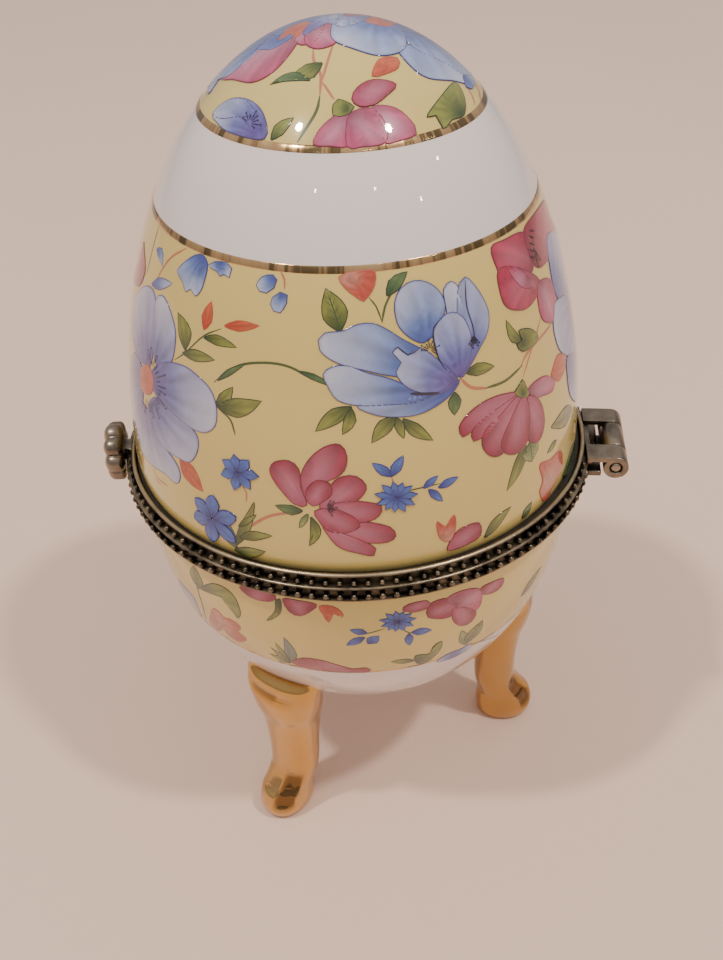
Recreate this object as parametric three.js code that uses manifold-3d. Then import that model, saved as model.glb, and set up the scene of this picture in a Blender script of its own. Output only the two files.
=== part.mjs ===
// A footed porcelain trinket box in the shape of an egg. The lid and the bowl are porcelain
// shells, each cemented into a beaded brass bezel. The bezels meet at the parting plane and
// turn on a knuckle hinge, and a flower plaque closes over a stud at the front.
// Millimetres. +Z is up, +Y points to the hinge, the table is z = 0, and the shells and bezels
// are centred on the YZ plane.
import * as THREE from "three";
import { mergeVertices } from "three/addons/utils/BufferGeometryUtils.js";
import Module from "manifold-3d";

// ---- Driving dimensions ----------------------------------------------------------------

// Shells
const parting_z = 58.5; // height at which lid and bowl meet
const shell_radius = 31.4; // outer radius of both shells
const shell_wall = 2.4;
const rim_inset = 0.45; // each shell draws in by this much at its rim
const rim_taper = 3; // over this height
const lid_rise = 57.4; // lid, rim to crown
const lid_fullness = 2.05; // exponent of the lid's outline: 2 is an ellipse
const bowl_drop = 40; // bowl, rim to underside
const bowl_fullness = 2.3;
const bezel_shift = 0.5; // both bezels sit this far towards the hinge on their shells

// Bezels
const halves_gap = 0.1; // between the two bezels when the box is closed
const ledge_thickness = 0.4; // the flat ring of a bezel that covers a shell's rim
const ledge_overhang = 0.6; // how far that ring reaches inside the shell
const rim_gap = 0.1; // between ledge and rim
const cement_width = 0.4; // narrowest bed of cement between shell and bezel
const cement_gap = 0.12; // cement to its neighbours
const cement_height = 0.4; // depth of the lid's bed
const lip_flare = 0.05; // the lid bezel's bore opens by this much up to its lip
const lip_round = 0.3; // radius of the rounded lip
const band_depth = 0.15; // how far the plain band lies behind the lip
const flange_edge = 0.25; // height of the thin flange at the parting plane
const flange_reach = 1.0; // how far it stands out from the lid bezel's lip
const lid_band = 0.3; // height of the plain band over the lid's beads
const bowl_band = 0.45; // height of the plain band over the bowl's beads
const lid_bead = 0.42; // bead radius, lid bezel
const bowl_bead = 0.5; // bead radius, bowl bezel
const bowl_foot_edge = 0.25; // plain edge under the bowl's beads
const bowl_step = 0.3; // the bowl bezel's wall stands out from the lid's by this much

// Hinge
const hinge_width = 12.4;
const knuckle_radius = 1.75;
const pin_radius = 0.75;
const pin_clearance = 0.1; // between the pin and the bore of each knuckle
const middle_knuckle = 5.5; // length of the middle knuckle
const knuckle_gap = 0.15; // end play on each side of it
const hinge_offset = 3.8; // hinge axis, out from the lip
const leaf_drop = 0.44; // top of the lid's leaf below the top of the lip
const leaf_thickness = 0.8;
const leaf_tie = 0.9; // depth of the strip under the lid's leaf that ties its arms together
const solder_gap = 0.1; // leaf or bracket to bezel

// Clasp
const plaque_radius = 4.3;
const plaque_thickness = 1.3;
const plaque_lobes = 8;
const plaque_lobe_depth = 0.35;
const plaque_bevel = 0.3;
const plaque_standoff = 2.6; // back of the plaque, out from the lip
const plaque_drop = 0.1; // centre of the plaque below the parting plane
const clasp_turn = 9; // degrees that the clasp sits round from opposite the hinge
const bracket_width = 3;
const bracket_height = 0.9;
const stud_radius = 0.8;
const stud_drop = 1.2; // stud's axis below the parting plane
const stud_clearance = 0.3; // stud to plaque

// Feet
const foot_inset = 7.7; // centre of each sole, in from the shells' radius
const foot_bearings = [93, 212, 331]; // degrees from +X, set by eye and not quite even
const foot_leans = [-1, 0, 2]; // how far each shoulder stands sideways of its sole
const foot_shoulder = 0.66; // depth of the shoulder's edge on the bowl, as a share of its drop
const foot_joint = 0.3; // between shoulder and bowl
// Sections of a foot from the sole up: height as a share of the foot's, how far its centre
// lies out from the sole's centre, half depth along the box's radius, half width across it.
const foot_sections = [
  [0, 0, 3.9, 3.1],
  [0.019, 0, 4.5, 3.7],
  [0.076, 0.1, 4.8, 3.95],
  [0.146, 0, 4.5, 3.8],
  [0.178, -0.35, 4.05, 3.65],
  [0.21, -0.85, 3.75, 3.65],
  [0.26, -1.5, 3.45, 3.7],
  [0.317, -1.8, 3.35, 3.75],
  [0.492, -1.8, 3.5, 3.95],
  [0.651, -1.6, 3.9, 4.5],
  [0.778, -1, 4.3, 5.4],
  [0.905, -0.4, 4, 6],
  [1, -1.2, 3.4, 6.1],
];

// Fineness of the surfaces
const shell_segments = 48;
const shell_steps = 11;
const ring_segments = 64;
const knuckle_segments = 24;
const foot_segments = 20;
const foot_rings = 22;
const lobe_steps = 6;

// ---- Places that follow from the dimensions ---------------------------------------------

const lid_base_z = parting_z + halves_gap / 2;
const bowl_top_z = parting_z - halves_gap / 2;
const lid_rim_z = lid_base_z + ledge_thickness + rim_gap;
const bowl_rim_z = bowl_top_z - ledge_thickness - rim_gap;
const ledge_radius = shell_radius - shell_wall - ledge_overhang;
const rim_radius = shell_radius - rim_inset;
const seat_radius = rim_radius + bezel_shift + cement_width;
const lip_inner = seat_radius + lip_flare;
const lip_outer = lip_inner + 2 * lip_round;
const lid_neck = lip_outer - band_depth;
const bowl_bore = seat_radius + bowl_step;
const bowl_neck = lid_neck + bowl_step;
const lid_beads_z = lid_base_z + flange_edge;
const lip_z = lid_beads_z + 2 * lid_bead + lid_band; // centre of the lip's rounding
const bowl_beads_z = bowl_top_z - flange_edge - bowl_band - 2 * bowl_bead;
const bowl_bezel_z = bowl_beads_z - bowl_foot_edge;
const leaf_z = lip_z + lip_round - leaf_drop; // top of the lid's leaf
const hinge_y = lip_outer + hinge_offset;
const hinge_z = leaf_z - knuckle_radius;
const knuckle_bore = pin_radius + pin_clearance;
const plaque_y = -(lip_outer + plaque_standoff);
const plaque_z = parting_z - plaque_drop;
const clasp_angle = THREE.MathUtils.degToRad(clasp_turn);
const foot_circle = shell_radius - foot_inset;
const foot_top = bowl_rim_z - foot_shoulder * bowl_drop;

// ---- Finishes -----------------------------------------------------------------------------

const finish = (color, roughness, metalness) =>
  new THREE.MeshStandardMaterial({ color, roughness, metalness });
const yellow_glaze = () => finish(0xd9c791, 0.12, 0);
const gilding = () => finish(0xc98f4c, 0.18, 1);
const old_brass = () => finish(0x5c4d3c, 0.4, 1);
const dark_cement = () => finish(0x17120e, 0.8, 0);

// ---- Solids -------------------------------------------------------------------------------

const wasm = await Module();
wasm.setup();
const weld = 1e-4; // vertices nearer than this are one

function solid_of(geometry) {
  const bare = new THREE.BufferGeometry();
  bare.setAttribute("position", geometry.getAttribute("position"));
  bare.setIndex(geometry.getIndex());
  const welded = mergeVertices(bare, weld);
  const vertProperties = welded.getAttribute("position").array;
  const triVerts = new Uint32Array(welded.getIndex().array);
  return new wasm.Manifold(new wasm.Mesh({ numProp: 3, vertProperties, triVerts }));
}

function geometry_of(solid) {
  const { vertProperties, triVerts } = solid.getMesh();
  const geometry = new THREE.BufferGeometry();
  geometry.setAttribute("position", new THREE.BufferAttribute(vertProperties, 3));
  geometry.setIndex(new THREE.BufferAttribute(triVerts, 1));
  geometry.computeVertexNormals();
  return geometry;
}

// A body of revolution about Z from [radius, height] points.
function turned(points, segments) {
  const outline = points.map(([radius, height]) => new THREE.Vector2(radius, height));
  return new THREE.LatheGeometry(outline, segments).rotateX(Math.PI / 2);
}

function disc(radius, bottom, top) {
  const cylinder = new THREE.CylinderGeometry(radius, radius, top - bottom, ring_segments);
  return cylinder.rotateX(Math.PI / 2).translate(0, 0, (bottom + top) / 2);
}

function block([x0, x1], [y0, y1], [z0, z1]) {
  const box = new THREE.BoxGeometry(x1 - x0, y1 - y0, z1 - z0);
  return box.translate((x0 + x1) / 2, (y0 + y1) / 2, (z0 + z1) / 2);
}

// A cylinder about the hinge axis.
function barrel(radius, x0, x1) {
  const cylinder = new THREE.CylinderGeometry(radius, radius, x1 - x0, knuckle_segments);
  return cylinder.rotateZ(Math.PI / 2).translate((x0 + x1) / 2, hinge_y, hinge_z);
}

function named(name, geometry, material) {
  const mesh = new THREE.Mesh(geometry, material);
  mesh.name = name;
  return mesh;
}

// ---- Porcelain shells ---------------------------------------------------------------------

// Half of a superellipse, from the rim (radius, 0) to the pole (0, rise).
function egg_curve(radius, rise, fullness) {
  const points = [];
  for (let step = 0; step < shell_steps; step++) {
    const angle = ((step / shell_steps) * Math.PI) / 2;
    const across = radius * Math.cos(angle) ** (2 / fullness);
    const up = rise * Math.sin(angle) ** (2 / fullness);
    points.push([across, up]);
  }
  points.push([0, rise]);
  return points;
}

// The outside of a shell: the egg's curve, drawn in to the rim.
function outside(rise, fullness) {
  const [, ...rest] = egg_curve(shell_radius, rise, fullness);
  const above_taper = rest.filter(([, height]) => height > rim_taper);
  return [[rim_radius, 0], [shell_radius, rim_taper], ...above_taper];
}

function shell(rim_z, rise, fullness, direction) {
  const outer = outside(rise, fullness);
  const inner = egg_curve(shell_radius - shell_wall, rise - shell_wall, fullness);
  const outline = [...inner.reverse(), ...outer];
  const placed = outline.map(([radius, height]) => [radius, rim_z + direction * height]);
  return turned(direction > 0 ? placed : placed.reverse(), shell_segments);
}

// The bowl's outside as a full body, grown by a gap, to trim what is fixed to it.
function bowl_body(gap) {
  const grown = egg_curve(shell_radius + gap, bowl_drop + gap, bowl_fullness);
  const placed = grown.map(([radius, height]) => [radius, bowl_rim_z - height]);
  return turned([...placed.reverse(), [0, bowl_rim_z]], shell_segments);
}

// ---- Bezels -------------------------------------------------------------------------------

// The outline of a row of beads seen from the side, from its lower to its upper edge.
function bead_row(neck, bead, bottom) {
  const centre = bottom + bead;
  const reach = neck + 0.9 * bead;
  const slant = bead * Math.SQRT1_2;
  return [
    [neck, bottom],
    [reach + slant, centre - slant],
    [reach + bead, centre],
    [reach + slant, centre + slant],
    [neck, bottom + 2 * bead],
  ];
}

// The rounded lip, from its outer to its inner edge.
function lip_round_over() {
  const middle = (lip_inner + lip_outer) / 2;
  const points = [];
  const steps = 6;
  for (let step = 0; step <= steps; step++) {
    const angle = (step / steps) * Math.PI;
    points.push([middle + lip_round * Math.cos(angle), lip_z + lip_round * Math.sin(angle)]);
  }
  return points;
}

function lid_bezel_outline() {
  const ledge_top = lid_base_z + ledge_thickness;
  const flange = lip_outer + flange_reach;
  return [
    [ledge_radius, lid_base_z],
    [flange, lid_base_z],
    [flange, lid_beads_z],
    ...bead_row(lid_neck, lid_bead, lid_beads_z),
    ...lip_round_over(),
    [seat_radius, ledge_top],
    [ledge_radius, ledge_top],
    [ledge_radius, lid_base_z],
  ];
}

function bowl_bezel_outline() {
  const ledge_bottom = bowl_top_z - ledge_thickness;
  const flange = bowl_neck + flange_reach - band_depth - bowl_step;
  return [
    [ledge_radius, ledge_bottom],
    [bowl_bore, ledge_bottom],
    [bowl_bore, bowl_bezel_z],
    [bowl_neck + bowl_bead, bowl_bezel_z],
    ...bead_row(bowl_neck, bowl_bead, bowl_beads_z),
    [bowl_neck, bowl_top_z - flange_edge],
    [flange, bowl_top_z - flange_edge],
    [flange, bowl_top_z],
    [ledge_radius, bowl_top_z],
    [ledge_radius, ledge_bottom],
  ];
}

// What is cut out of a bezel's beads and flange for a leaf or bracket, down to its neck:
// side is 1 for the hinge's and -1 for the clasp's.
function pocket(width, side, neck, bottom, top) {
  const half = width / 2 + solder_gap;
  const reach = side * (lip_outer + 2 * flange_reach);
  const across = side > 0 ? [0, reach] : [reach, 0];
  const turn = side > 0 ? 0 : clasp_angle;
  const slab = solid_of(block([-half, half], across, [bottom, top]).rotateZ(turn));
  const core = solid_of(disc(neck, bottom - 1, top + 1));
  return slab.subtract(core);
}

const over = 1; // how far a cutting tool passes what it cuts

function lid_bezel() {
  const ring = solid_of(turned(lid_bezel_outline(), ring_segments));
  const reach = [lid_base_z - over, lip_z];
  const for_leaf = pocket(hinge_width, 1, lip_outer, ...reach);
  const for_bracket = pocket(bracket_width, -1, lip_outer, ...reach);
  return geometry_of(ring.subtract(for_leaf).subtract(for_bracket));
}

function bowl_bezel() {
  const ring = solid_of(turned(bowl_bezel_outline(), ring_segments));
  const reach = [bowl_bezel_z - over, bowl_top_z + over];
  const for_leaf = pocket(hinge_width, 1, bowl_neck, ...reach);
  const for_stud = pocket(2 * stud_radius, -1, bowl_neck, ...reach);
  return geometry_of(ring.subtract(for_leaf).subtract(for_stud));
}

// ---- Cement ---------------------------------------------------------------------------------

// A ring whose hole keeps to the shell, which sits off the bezel's centre.
function cement_bed(outer, hole, bottom, top) {
  const bed = solid_of(disc(outer - cement_gap, bottom, top));
  const core = disc(hole + cement_gap, bottom - over, top + over);
  return geometry_of(bed.subtract(solid_of(core.translate(0, -bezel_shift, 0))));
}

function lid_cement() {
  const bottom = lid_base_z + ledge_thickness + cement_gap;
  return cement_bed(seat_radius, rim_radius, bottom, bottom + cement_height);
}

function bowl_cement() {
  const top = bowl_top_z - ledge_thickness - cement_gap;
  const bottom = bowl_bezel_z + bowl_foot_edge;
  const taper = (rim_inset * (bowl_rim_z - bottom)) / rim_taper;
  return cement_bed(bowl_bore, rim_radius + taper, bottom, top);
}

// ---- Hinge ------------------------------------------------------------------------------------

const arm_inner = middle_knuckle / 2 + knuckle_gap;

function lid_leaf() {
  const half = hinge_width / 2;
  const under = leaf_z - leaf_thickness;
  const tie_y = [lip_outer - over, lip_outer + leaf_tie];
  const tie_z = [lid_base_z + halves_gap, (under + leaf_z) / 2];
  let leaf = solid_of(block([-half, half], tie_y, tie_z));
  for (const side of [-1, 1]) {
    const [x0, x1] = side > 0 ? [arm_inner, half] : [-half, -arm_inner];
    const arm = solid_of(block([x0, x1], [lip_outer - over, hinge_y], [under, leaf_z]));
    const knuckle = solid_of(barrel(knuckle_radius, x0, x1));
    leaf = leaf.add(arm).add(knuckle);
  }
  const bore = solid_of(barrel(knuckle_bore, -half - over, half + over));
  const core = solid_of(disc(lip_outer + solder_gap, parting_z - over, leaf_z + over));
  return geometry_of(leaf.subtract(bore).subtract(core));
}

function bowl_leaf() {
  const half = hinge_width / 2;
  const middle = middle_knuckle / 2;
  const bottom = hinge_z - 0.8 * knuckle_radius;
  const height = [bottom, bottom + leaf_thickness];
  const strip_end = hinge_y - knuckle_radius - knuckle_gap;
  const strip = solid_of(block([-half, half], [bowl_neck - over, strip_end], height));
  const arm = solid_of(block([-middle, middle], [bowl_neck, hinge_y], height));
  const knuckle = solid_of(barrel(knuckle_radius, -middle, middle));
  const bore = solid_of(barrel(knuckle_bore, -half, half));
  const core = solid_of(disc(bowl_neck + solder_gap, bottom - over, parting_z));
  return geometry_of(strip.add(arm).add(knuckle).subtract(bore).subtract(core));
}

// ---- Clasp ------------------------------------------------------------------------------------

// A disc with a lobed edge that stands upright in front of the bezels.
function plaque() {
  const outline = [];
  const steps = plaque_lobes * lobe_steps;
  for (let step = 0; step < steps; step++) {
    const turn = (step / steps) * 2 * Math.PI;
    const dip = plaque_lobe_depth * (1 - Math.abs(Math.cos((plaque_lobes / 2) * turn)));
    const radius = plaque_radius - plaque_bevel - dip;
    outline.push(new THREE.Vector2(radius * Math.cos(turn), radius * Math.sin(turn)));
  }
  const body = new THREE.ExtrudeGeometry(new THREE.Shape(outline), {
    depth: plaque_thickness - 2 * plaque_bevel,
    bevelThickness: plaque_bevel,
    bevelSize: plaque_bevel,
    bevelSegments: 2,
    steps: 1,
  });
  return body.rotateX(Math.PI / 2).translate(0, plaque_y - plaque_bevel, plaque_z);
}

function bracket() {
  const half = bracket_width / 2;
  const bottom = parting_z + halves_gap;
  const bar_y = [plaque_y + solder_gap, -(lip_outer - over)];
  const bar = solid_of(block([-half, half], bar_y, [bottom, bottom + bracket_height]));
  const core = disc(lip_outer + solder_gap, bottom - over, bottom + bracket_height + over);
  return geometry_of(bar.subtract(solid_of(core)));
}

function catch_stud() {
  const base = -(bowl_neck + solder_gap);
  const tip = plaque_y + stud_clearance;
  const neck = 0.6 * stud_radius;
  const length = base - tip;
  const outline = [
    [0, 0],
    [neck, 0],
    [neck, length - 2 * stud_radius],
    [stud_radius, length - 1.4 * stud_radius],
    [stud_radius, length - 0.6 * stud_radius],
    [neck, length],
    [0, length],
  ];
  const stud = turned(outline, knuckle_segments).rotateX(Math.PI / 2);
  return stud.translate(0, base, parting_z - stud_drop);
}

// ---- Feet -------------------------------------------------------------------------------------

// The front and back edges of a foot seen from its side, and its edge seen from the front.
const foot_front = new THREE.SplineCurve(
  foot_sections.map(([share, out, depth]) => new THREE.Vector2(out + depth, share)),
);
const foot_back = new THREE.SplineCurve(
  foot_sections.map(([share, out, depth]) => new THREE.Vector2(out - depth, share)),
);
const foot_side = new THREE.SplineCurve(
  foot_sections.map(([share, , , width]) => new THREE.Vector2(width, share)),
);

// A foot that stands on the +X side of the axis: a cylinder whose rings take the width and
// depth of the foot at their height, trimmed to the bowl.
function foot(lean) {
  const stock = new THREE.CylinderGeometry(1, 1, 1, foot_segments, foot_rings);
  stock.rotateX(Math.PI / 2);
  const at = stock.getAttribute("position");
  for (let i = 0; i < at.count; i++) {
    const share = at.getZ(i) + 0.5;
    const front = foot_front.getPoint(share);
    const back = foot_back.getPoint(share);
    const side = foot_side.getPoint(share);
    const x = (front.x + back.x) / 2 + ((front.x - back.x) / 2) * at.getX(i);
    const y = side.x * at.getY(i) + lean * share;
    at.setXYZ(i, foot_circle + x, y, foot_top * front.y);
  }
  return geometry_of(solid_of(stock).subtract(solid_of(bowl_body(foot_joint))));
}

// ---- Assembly ---------------------------------------------------------------------------------

const bowl_shell = shell(bowl_rim_z, bowl_drop, bowl_fullness, -1);
const lid_shell = shell(lid_rim_z, lid_rise, lid_fullness, 1);

const porcelain = new THREE.Group();
porcelain.add(
  named("lower_shell", bowl_shell, yellow_glaze()),
  named("upper_shell", lid_shell, yellow_glaze()),
);

const foot_names = ["foot_rear", "foot_front_left", "foot_front_right"];
foot_names.forEach((name, i) => {
  const leg = named(name, foot(foot_leans[i]), gilding());
  leg.rotation.z = THREE.MathUtils.degToRad(foot_bearings[i]);
  porcelain.add(leg);
});

const clasp = new THREE.Group();
clasp.rotation.z = clasp_angle;
clasp.add(
  named("clasp_plaque", plaque(), old_brass()),
  named("clasp_bracket", bracket(), old_brass()),
  named("catch_stud", catch_stud(), old_brass()),
);

const metalwork = new THREE.Group();
metalwork.position.y = bezel_shift;
metalwork.add(
  named("upper_bezel", lid_bezel(), old_brass()),
  named("upper_cement", lid_cement(), dark_cement()),
  named("hinge_leaf_upper", lid_leaf(), old_brass()),
  named("lower_bezel", bowl_bezel(), old_brass()),
  named("lower_cement", bowl_cement(), dark_cement()),
  named("hinge_leaf_lower", bowl_leaf(), old_brass()),
  named("hinge_pin", barrel(pin_radius, -hinge_width / 2, hinge_width / 2), old_brass()),
  clasp,
);

// The origin is under the middle of the box's overall length, hinge to clasp.
const hinge_reach = bezel_shift + hinge_y + knuckle_radius;
const plaque_face = plaque_thickness - plaque_y;
const plaque_corner = plaque_radius * Math.sin(clasp_angle);
const clasp_reach = plaque_face * Math.cos(clasp_angle) + plaque_corner - bezel_shift;
const box = new THREE.Group();
box.position.y = (clasp_reach - hinge_reach) / 2;
box.add(porcelain, metalwork);

export default new THREE.Group().add(box);
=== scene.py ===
import math

import bmesh
import bpy
import numpy as np
from mathutils import Matrix, Vector


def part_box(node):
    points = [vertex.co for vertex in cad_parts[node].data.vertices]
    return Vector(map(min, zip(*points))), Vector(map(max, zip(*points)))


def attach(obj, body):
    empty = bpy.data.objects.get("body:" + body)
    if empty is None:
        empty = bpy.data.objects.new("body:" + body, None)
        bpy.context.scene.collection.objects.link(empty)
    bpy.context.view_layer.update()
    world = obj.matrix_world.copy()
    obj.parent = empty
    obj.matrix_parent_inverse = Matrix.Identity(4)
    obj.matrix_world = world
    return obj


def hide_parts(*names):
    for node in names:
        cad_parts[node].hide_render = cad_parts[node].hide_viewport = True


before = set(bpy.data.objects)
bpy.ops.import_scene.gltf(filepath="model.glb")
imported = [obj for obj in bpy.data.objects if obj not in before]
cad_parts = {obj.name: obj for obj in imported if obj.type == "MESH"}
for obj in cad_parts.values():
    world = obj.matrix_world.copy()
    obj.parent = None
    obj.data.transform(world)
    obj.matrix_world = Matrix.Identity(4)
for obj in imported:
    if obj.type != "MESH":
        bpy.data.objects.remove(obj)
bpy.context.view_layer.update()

MM = 0.001


# ---- Places taken from the frame, in millimetres ------------------------------------------------

def box_mm(node):
    low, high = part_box(node)
    return np.array(low) / MM, np.array(high) / MM


lid_low, lid_high = box_mm("upper_shell")
bowl_low, bowl_high = box_mm("lower_shell")
ring_low, ring_high = box_mm("upper_bezel")
base_low, base_high = box_mm("lower_bezel")
leaf_low, leaf_high = box_mm("hinge_leaf_upper")
pin_low, pin_high = box_mm("hinge_pin")
plaque_low, plaque_high = box_mm("clasp_plaque")
stud_low, stud_high = box_mm("catch_stud")
bar_low, bar_high = box_mm("clasp_bracket")

shell_y = (lid_low[1] + lid_high[1]) / 2
shell_radius = (lid_high[0] - lid_low[0]) / 2
wall = 2.4
lid_rim, crown = lid_low[2], lid_high[2]
bowl_rim, bowl_bottom = bowl_high[2], bowl_low[2]
ring_y = (base_low[1] + base_high[1]) / 2
hinge_y, hinge_z = (pin_low[1:] + pin_high[1:]) / 2
lid_shape = (lid_rim, crown - lid_rim - 0.3, 2.05, 1)
bowl_shape = (bowl_rim, bowl_rim - bowl_bottom, 2.3, -1)

# Heights of the gold lines.
CAP_LINE = 107.5
BAND_LINE = 96.8
BOWL_LINE = 39.2
# Steps round a shell and round a bezel.
ROUND = 320
RING_ROUND = 360


# ---- Meshes ---------------------------------------------------------------------------------

def mesh(name, verts, faces, material, colours=None, smooth=True):
    data = bpy.data.meshes.new(name)
    data.from_pydata([tuple(v) for v in np.asarray(verts, float) * MM], [], faces)
    data.materials.append(material)
    if colours is not None:
        layer = data.color_attributes.new("Paint", "FLOAT_COLOR", "POINT")
        flat = np.ones((len(data.vertices), 4))
        flat[:, :3] = colours
        layer.data.foreach_set("color", flat.ravel())
    data.validate()
    data.update()
    if smooth:
        data.polygons.foreach_set("use_smooth", [True] * len(data.polygons))
    obj = bpy.data.objects.new(name, data)
    bpy.context.scene.collection.objects.link(obj)
    return obj


def normals_out(obj):
    work = bmesh.new()
    work.from_mesh(obj.data)
    bmesh.ops.remove_doubles(work, verts=work.verts, dist=1e-7)
    bmesh.ops.recalc_face_normals(work, faces=work.faces)
    work.to_mesh(obj.data)
    work.free()
    return obj


def sharp(obj, angle=35):
    obj.data.set_sharp_from_angle(angle=math.radians(angle))
    return obj


def bevel(obj, width, segments=3):
    tool = obj.modifiers.new("edges", "BEVEL")
    tool.width = width * MM
    tool.segments = segments
    tool.limit_method = "ANGLE"
    tool.angle_limit = math.radians(30)
    bpy.context.view_layer.update()
    done = bpy.data.meshes.new_from_object(obj.evaluated_get(bpy.context.evaluated_depsgraph_get()))
    obj.modifiers.clear()
    obj.data = done
    done.polygons.foreach_set("use_smooth", [True] * len(done.polygons))
    return sharp(obj, 50)


def join(name, objects):
    first = objects[0]
    with bpy.context.temp_override(active_object=first, selected_editable_objects=objects):
        bpy.ops.object.join()
    first.name = name
    first.data.name = name
    return first


def turned(profile, steps, place, closed=False):
    """Vertices and faces of a profile of (radius, along) turned round an axis."""
    verts = [place(radius, along, 2 * math.pi * k / steps) for radius, along in profile for k in range(steps)]
    count = len(profile)
    faces = []
    for i in range(count if closed else count - 1):
        a, b = i * steps, (i + 1) % count * steps
        faces += [(a + k, a + (k + 1) % steps, b + (k + 1) % steps, b + k) for k in range(steps)]
    return verts, faces


def ends(rings, steps):
    """The two faces that close a turned body."""
    return [tuple(range(steps)), tuple(range((rings - 1) * steps, rings * steps))]


def upright(centre_y):
    return lambda radius, z, a: (radius * math.cos(a), centre_y + radius * math.sin(a), z)


def lathe(name, outline, segments, centre_y, material):
    return normals_out(mesh(name, *turned(outline, segments, upright(centre_y), True), material))


def painted(obj, rule):
    """Writes how bright each vertex is made, by a rule of its place: rubbed wear, and painted highlights
    where the rule puts them.
    """
    paint = obj.data.color_attributes
    layer = paint.get("Paint") or paint.new("Paint", "FLOAT_COLOR", "POINT")
    for i, v in enumerate(obj.data.vertices):
        value = rule(*(v.co / MM))
        layer.data[i].color = (value, value, value, 1)
    return obj


def grey(values):
    return np.repeat(np.array(values)[:, None], 3, 1)


def prism(name, outline, axis, low, high, material, edge=0.15):
    """A polygon in the plane across an axis, drawn out along it, with rounded edges."""
    count = len(outline)
    verts = []
    for level in (low, high):
        for u, v in outline:
            verts.append({"x": (level, u, v), "z": (u, v, level)}[axis])
    faces = [tuple(range(count)), tuple(range(2 * count - 1, count - 1, -1))]
    for i in range(count):
        j = (i + 1) % count
        faces.append((i, j, count + j, count + i))
    obj = normals_out(mesh(name, verts, faces, material, smooth=False))
    return bevel(obj, edge)


def arc(centre, radius, start, end, steps):
    angles = np.radians(np.linspace(start, end, steps))
    return [(centre[0] + radius * math.cos(a), centre[1] + radius * math.sin(a)) for a in angles]


# ---- The egg's surface ------------------------------------------------------------------------

def radius_at(shape, z, grow=0.0):
    rim, rise, power, _ = shape
    share = np.clip(np.abs(np.asarray(z, float) - rim) / (rise + grow), 0, 1)
    return (shell_radius + grow) * np.maximum(1 - share ** power, 0) ** (1 / power)


def surface_point(shape, bearing, z):
    radius = float(radius_at(shape, z))
    a = math.radians(bearing)
    return np.array([radius * math.cos(a), shell_y + radius * math.sin(a), z])


def outward(shape, points):
    rim, rise, power, _ = shape
    x, y, z = points[:, 0], points[:, 1] - shell_y, points[:, 2] - rim
    flat = np.maximum(np.hypot(x, y), 1e-6)
    across = (flat / shell_radius) ** (power - 1) / shell_radius
    up = (np.abs(z) / rise) ** (power - 1) / rise * np.sign(z)
    n = np.stack([across * x / flat, across * y / flat, up], 1)
    return n / np.linalg.norm(n, axis=1)[:, None]


def level(shape, points):
    rim, rise, power, side = shape
    flat = np.hypot(points[:, 0], points[:, 1] - shell_y) / shell_radius
    up = np.maximum(side * (points[:, 2] - rim), 0) / rise
    return flat ** power + up ** power - 1


def laid_on(shape, points, direction, lift):
    """Moves points along one direction onto the shell, then out by lift."""
    points = points.copy()
    for _ in range(8):
        here = level(shape, points)
        slope = (level(shape, points + direction * 0.01) - here) / 0.01
        points -= direction * (here / np.where(np.abs(slope) < 1e-5, 1e-5, slope))[:, None]
    return points + outward(shape, points) * lift


# ---- Materials --------------------------------------------------------------------------------

class Nodes:
    def __init__(self, name):
        self.material = bpy.data.materials.new(name)
        self.material.use_nodes = True
        self.tree = self.material.node_tree
        self.shader = self.tree.nodes["Principled BSDF"]

    def new(self, kind, inputs=(), **settings):
        node = self.tree.nodes.new(kind)
        for key, value in settings.items():
            setattr(node, key, value)
        for key, value in dict(inputs).items():
            self.put(node.inputs[key], value)
        return node

    def put(self, socket, value):
        if isinstance(value, bpy.types.NodeSocket):
            self.tree.links.new(value, socket)
        else:
            socket.default_value = value

    def set(self, **values):
        for key, value in values.items():
            self.put(self.shader.inputs[key.replace("_", " ")], value)

    def place(self):
        return self.new("ShaderNodeTexCoord").outputs["Object"]

    def paint(self, output="Fac"):
        return self.new("ShaderNodeAttribute", attribute_name="Paint").outputs[output]

    def noise(self, scale, detail=4.0, rough=0.55, at=None, distort=0.0):
        values = {"Vector": at or self.place(), "Scale": scale, "Detail": detail}
        values |= {"Roughness": rough, "Distortion": distort}
        return self.new("ShaderNodeTexNoise", values).outputs["Fac"]

    def ramp(self, factor, *stops):
        node = self.new("ShaderNodeValToRGB", {"Fac": factor})
        elements = node.color_ramp.elements
        while len(elements) < len(stops):
            elements.new(0.5)
        for element, (at, colour) in zip(elements, stops):
            element.position = at
            element.color = (*colour, 1)
        return node.outputs["Color"]

    def mix(self, factor, a, b, blend="MIX"):
        node = self.new("ShaderNodeMix", data_type="RGBA", blend_type=blend)
        for index, value in ((0, factor), (6, a), (7, b)):
            if isinstance(value, tuple) and len(value) == 3:
                value = (*value, 1)
            self.put(node.inputs[index], value)
        return node.outputs[2]

    def math(self, operation, a, b=0.0, c=0.0):
        node = self.new("ShaderNodeMath", operation=operation)
        for index, value in enumerate((a, b, c)):
            self.put(node.inputs[index], value)
        return node.outputs[0]

    def bump(self, height, strength, distance):
        values = {"Height": height, "Strength": strength, "Distance": distance}
        self.put(self.shader.inputs["Normal"], self.new("ShaderNodeBump", values).outputs["Normal"])


def glaze_finish(nodes):
    """The clear glaze that lies over porcelain and print alike."""
    wave = nodes.noise(95.0, 2.0, 0.4)
    nodes.bump(wave, 0.05, 0.0004)
    nodes.set(Roughness=0.22, IOR=1.5, Metallic=0.0)
    nodes.set(Specular_IOR_Level=0.1, Coat_Weight=1.0, Coat_Roughness=0.025, Coat_IOR=1.5)


def mapped_range(nodes, value, low, high):
    node = nodes.new("ShaderNodeMapRange", {"Value": value, "From Min": low, "From Max": high})
    return node.outputs["Result"]


WHITE = (0.80, 0.72, 0.70)
YELLOW = (0.70, 0.54, 0.165)


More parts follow.
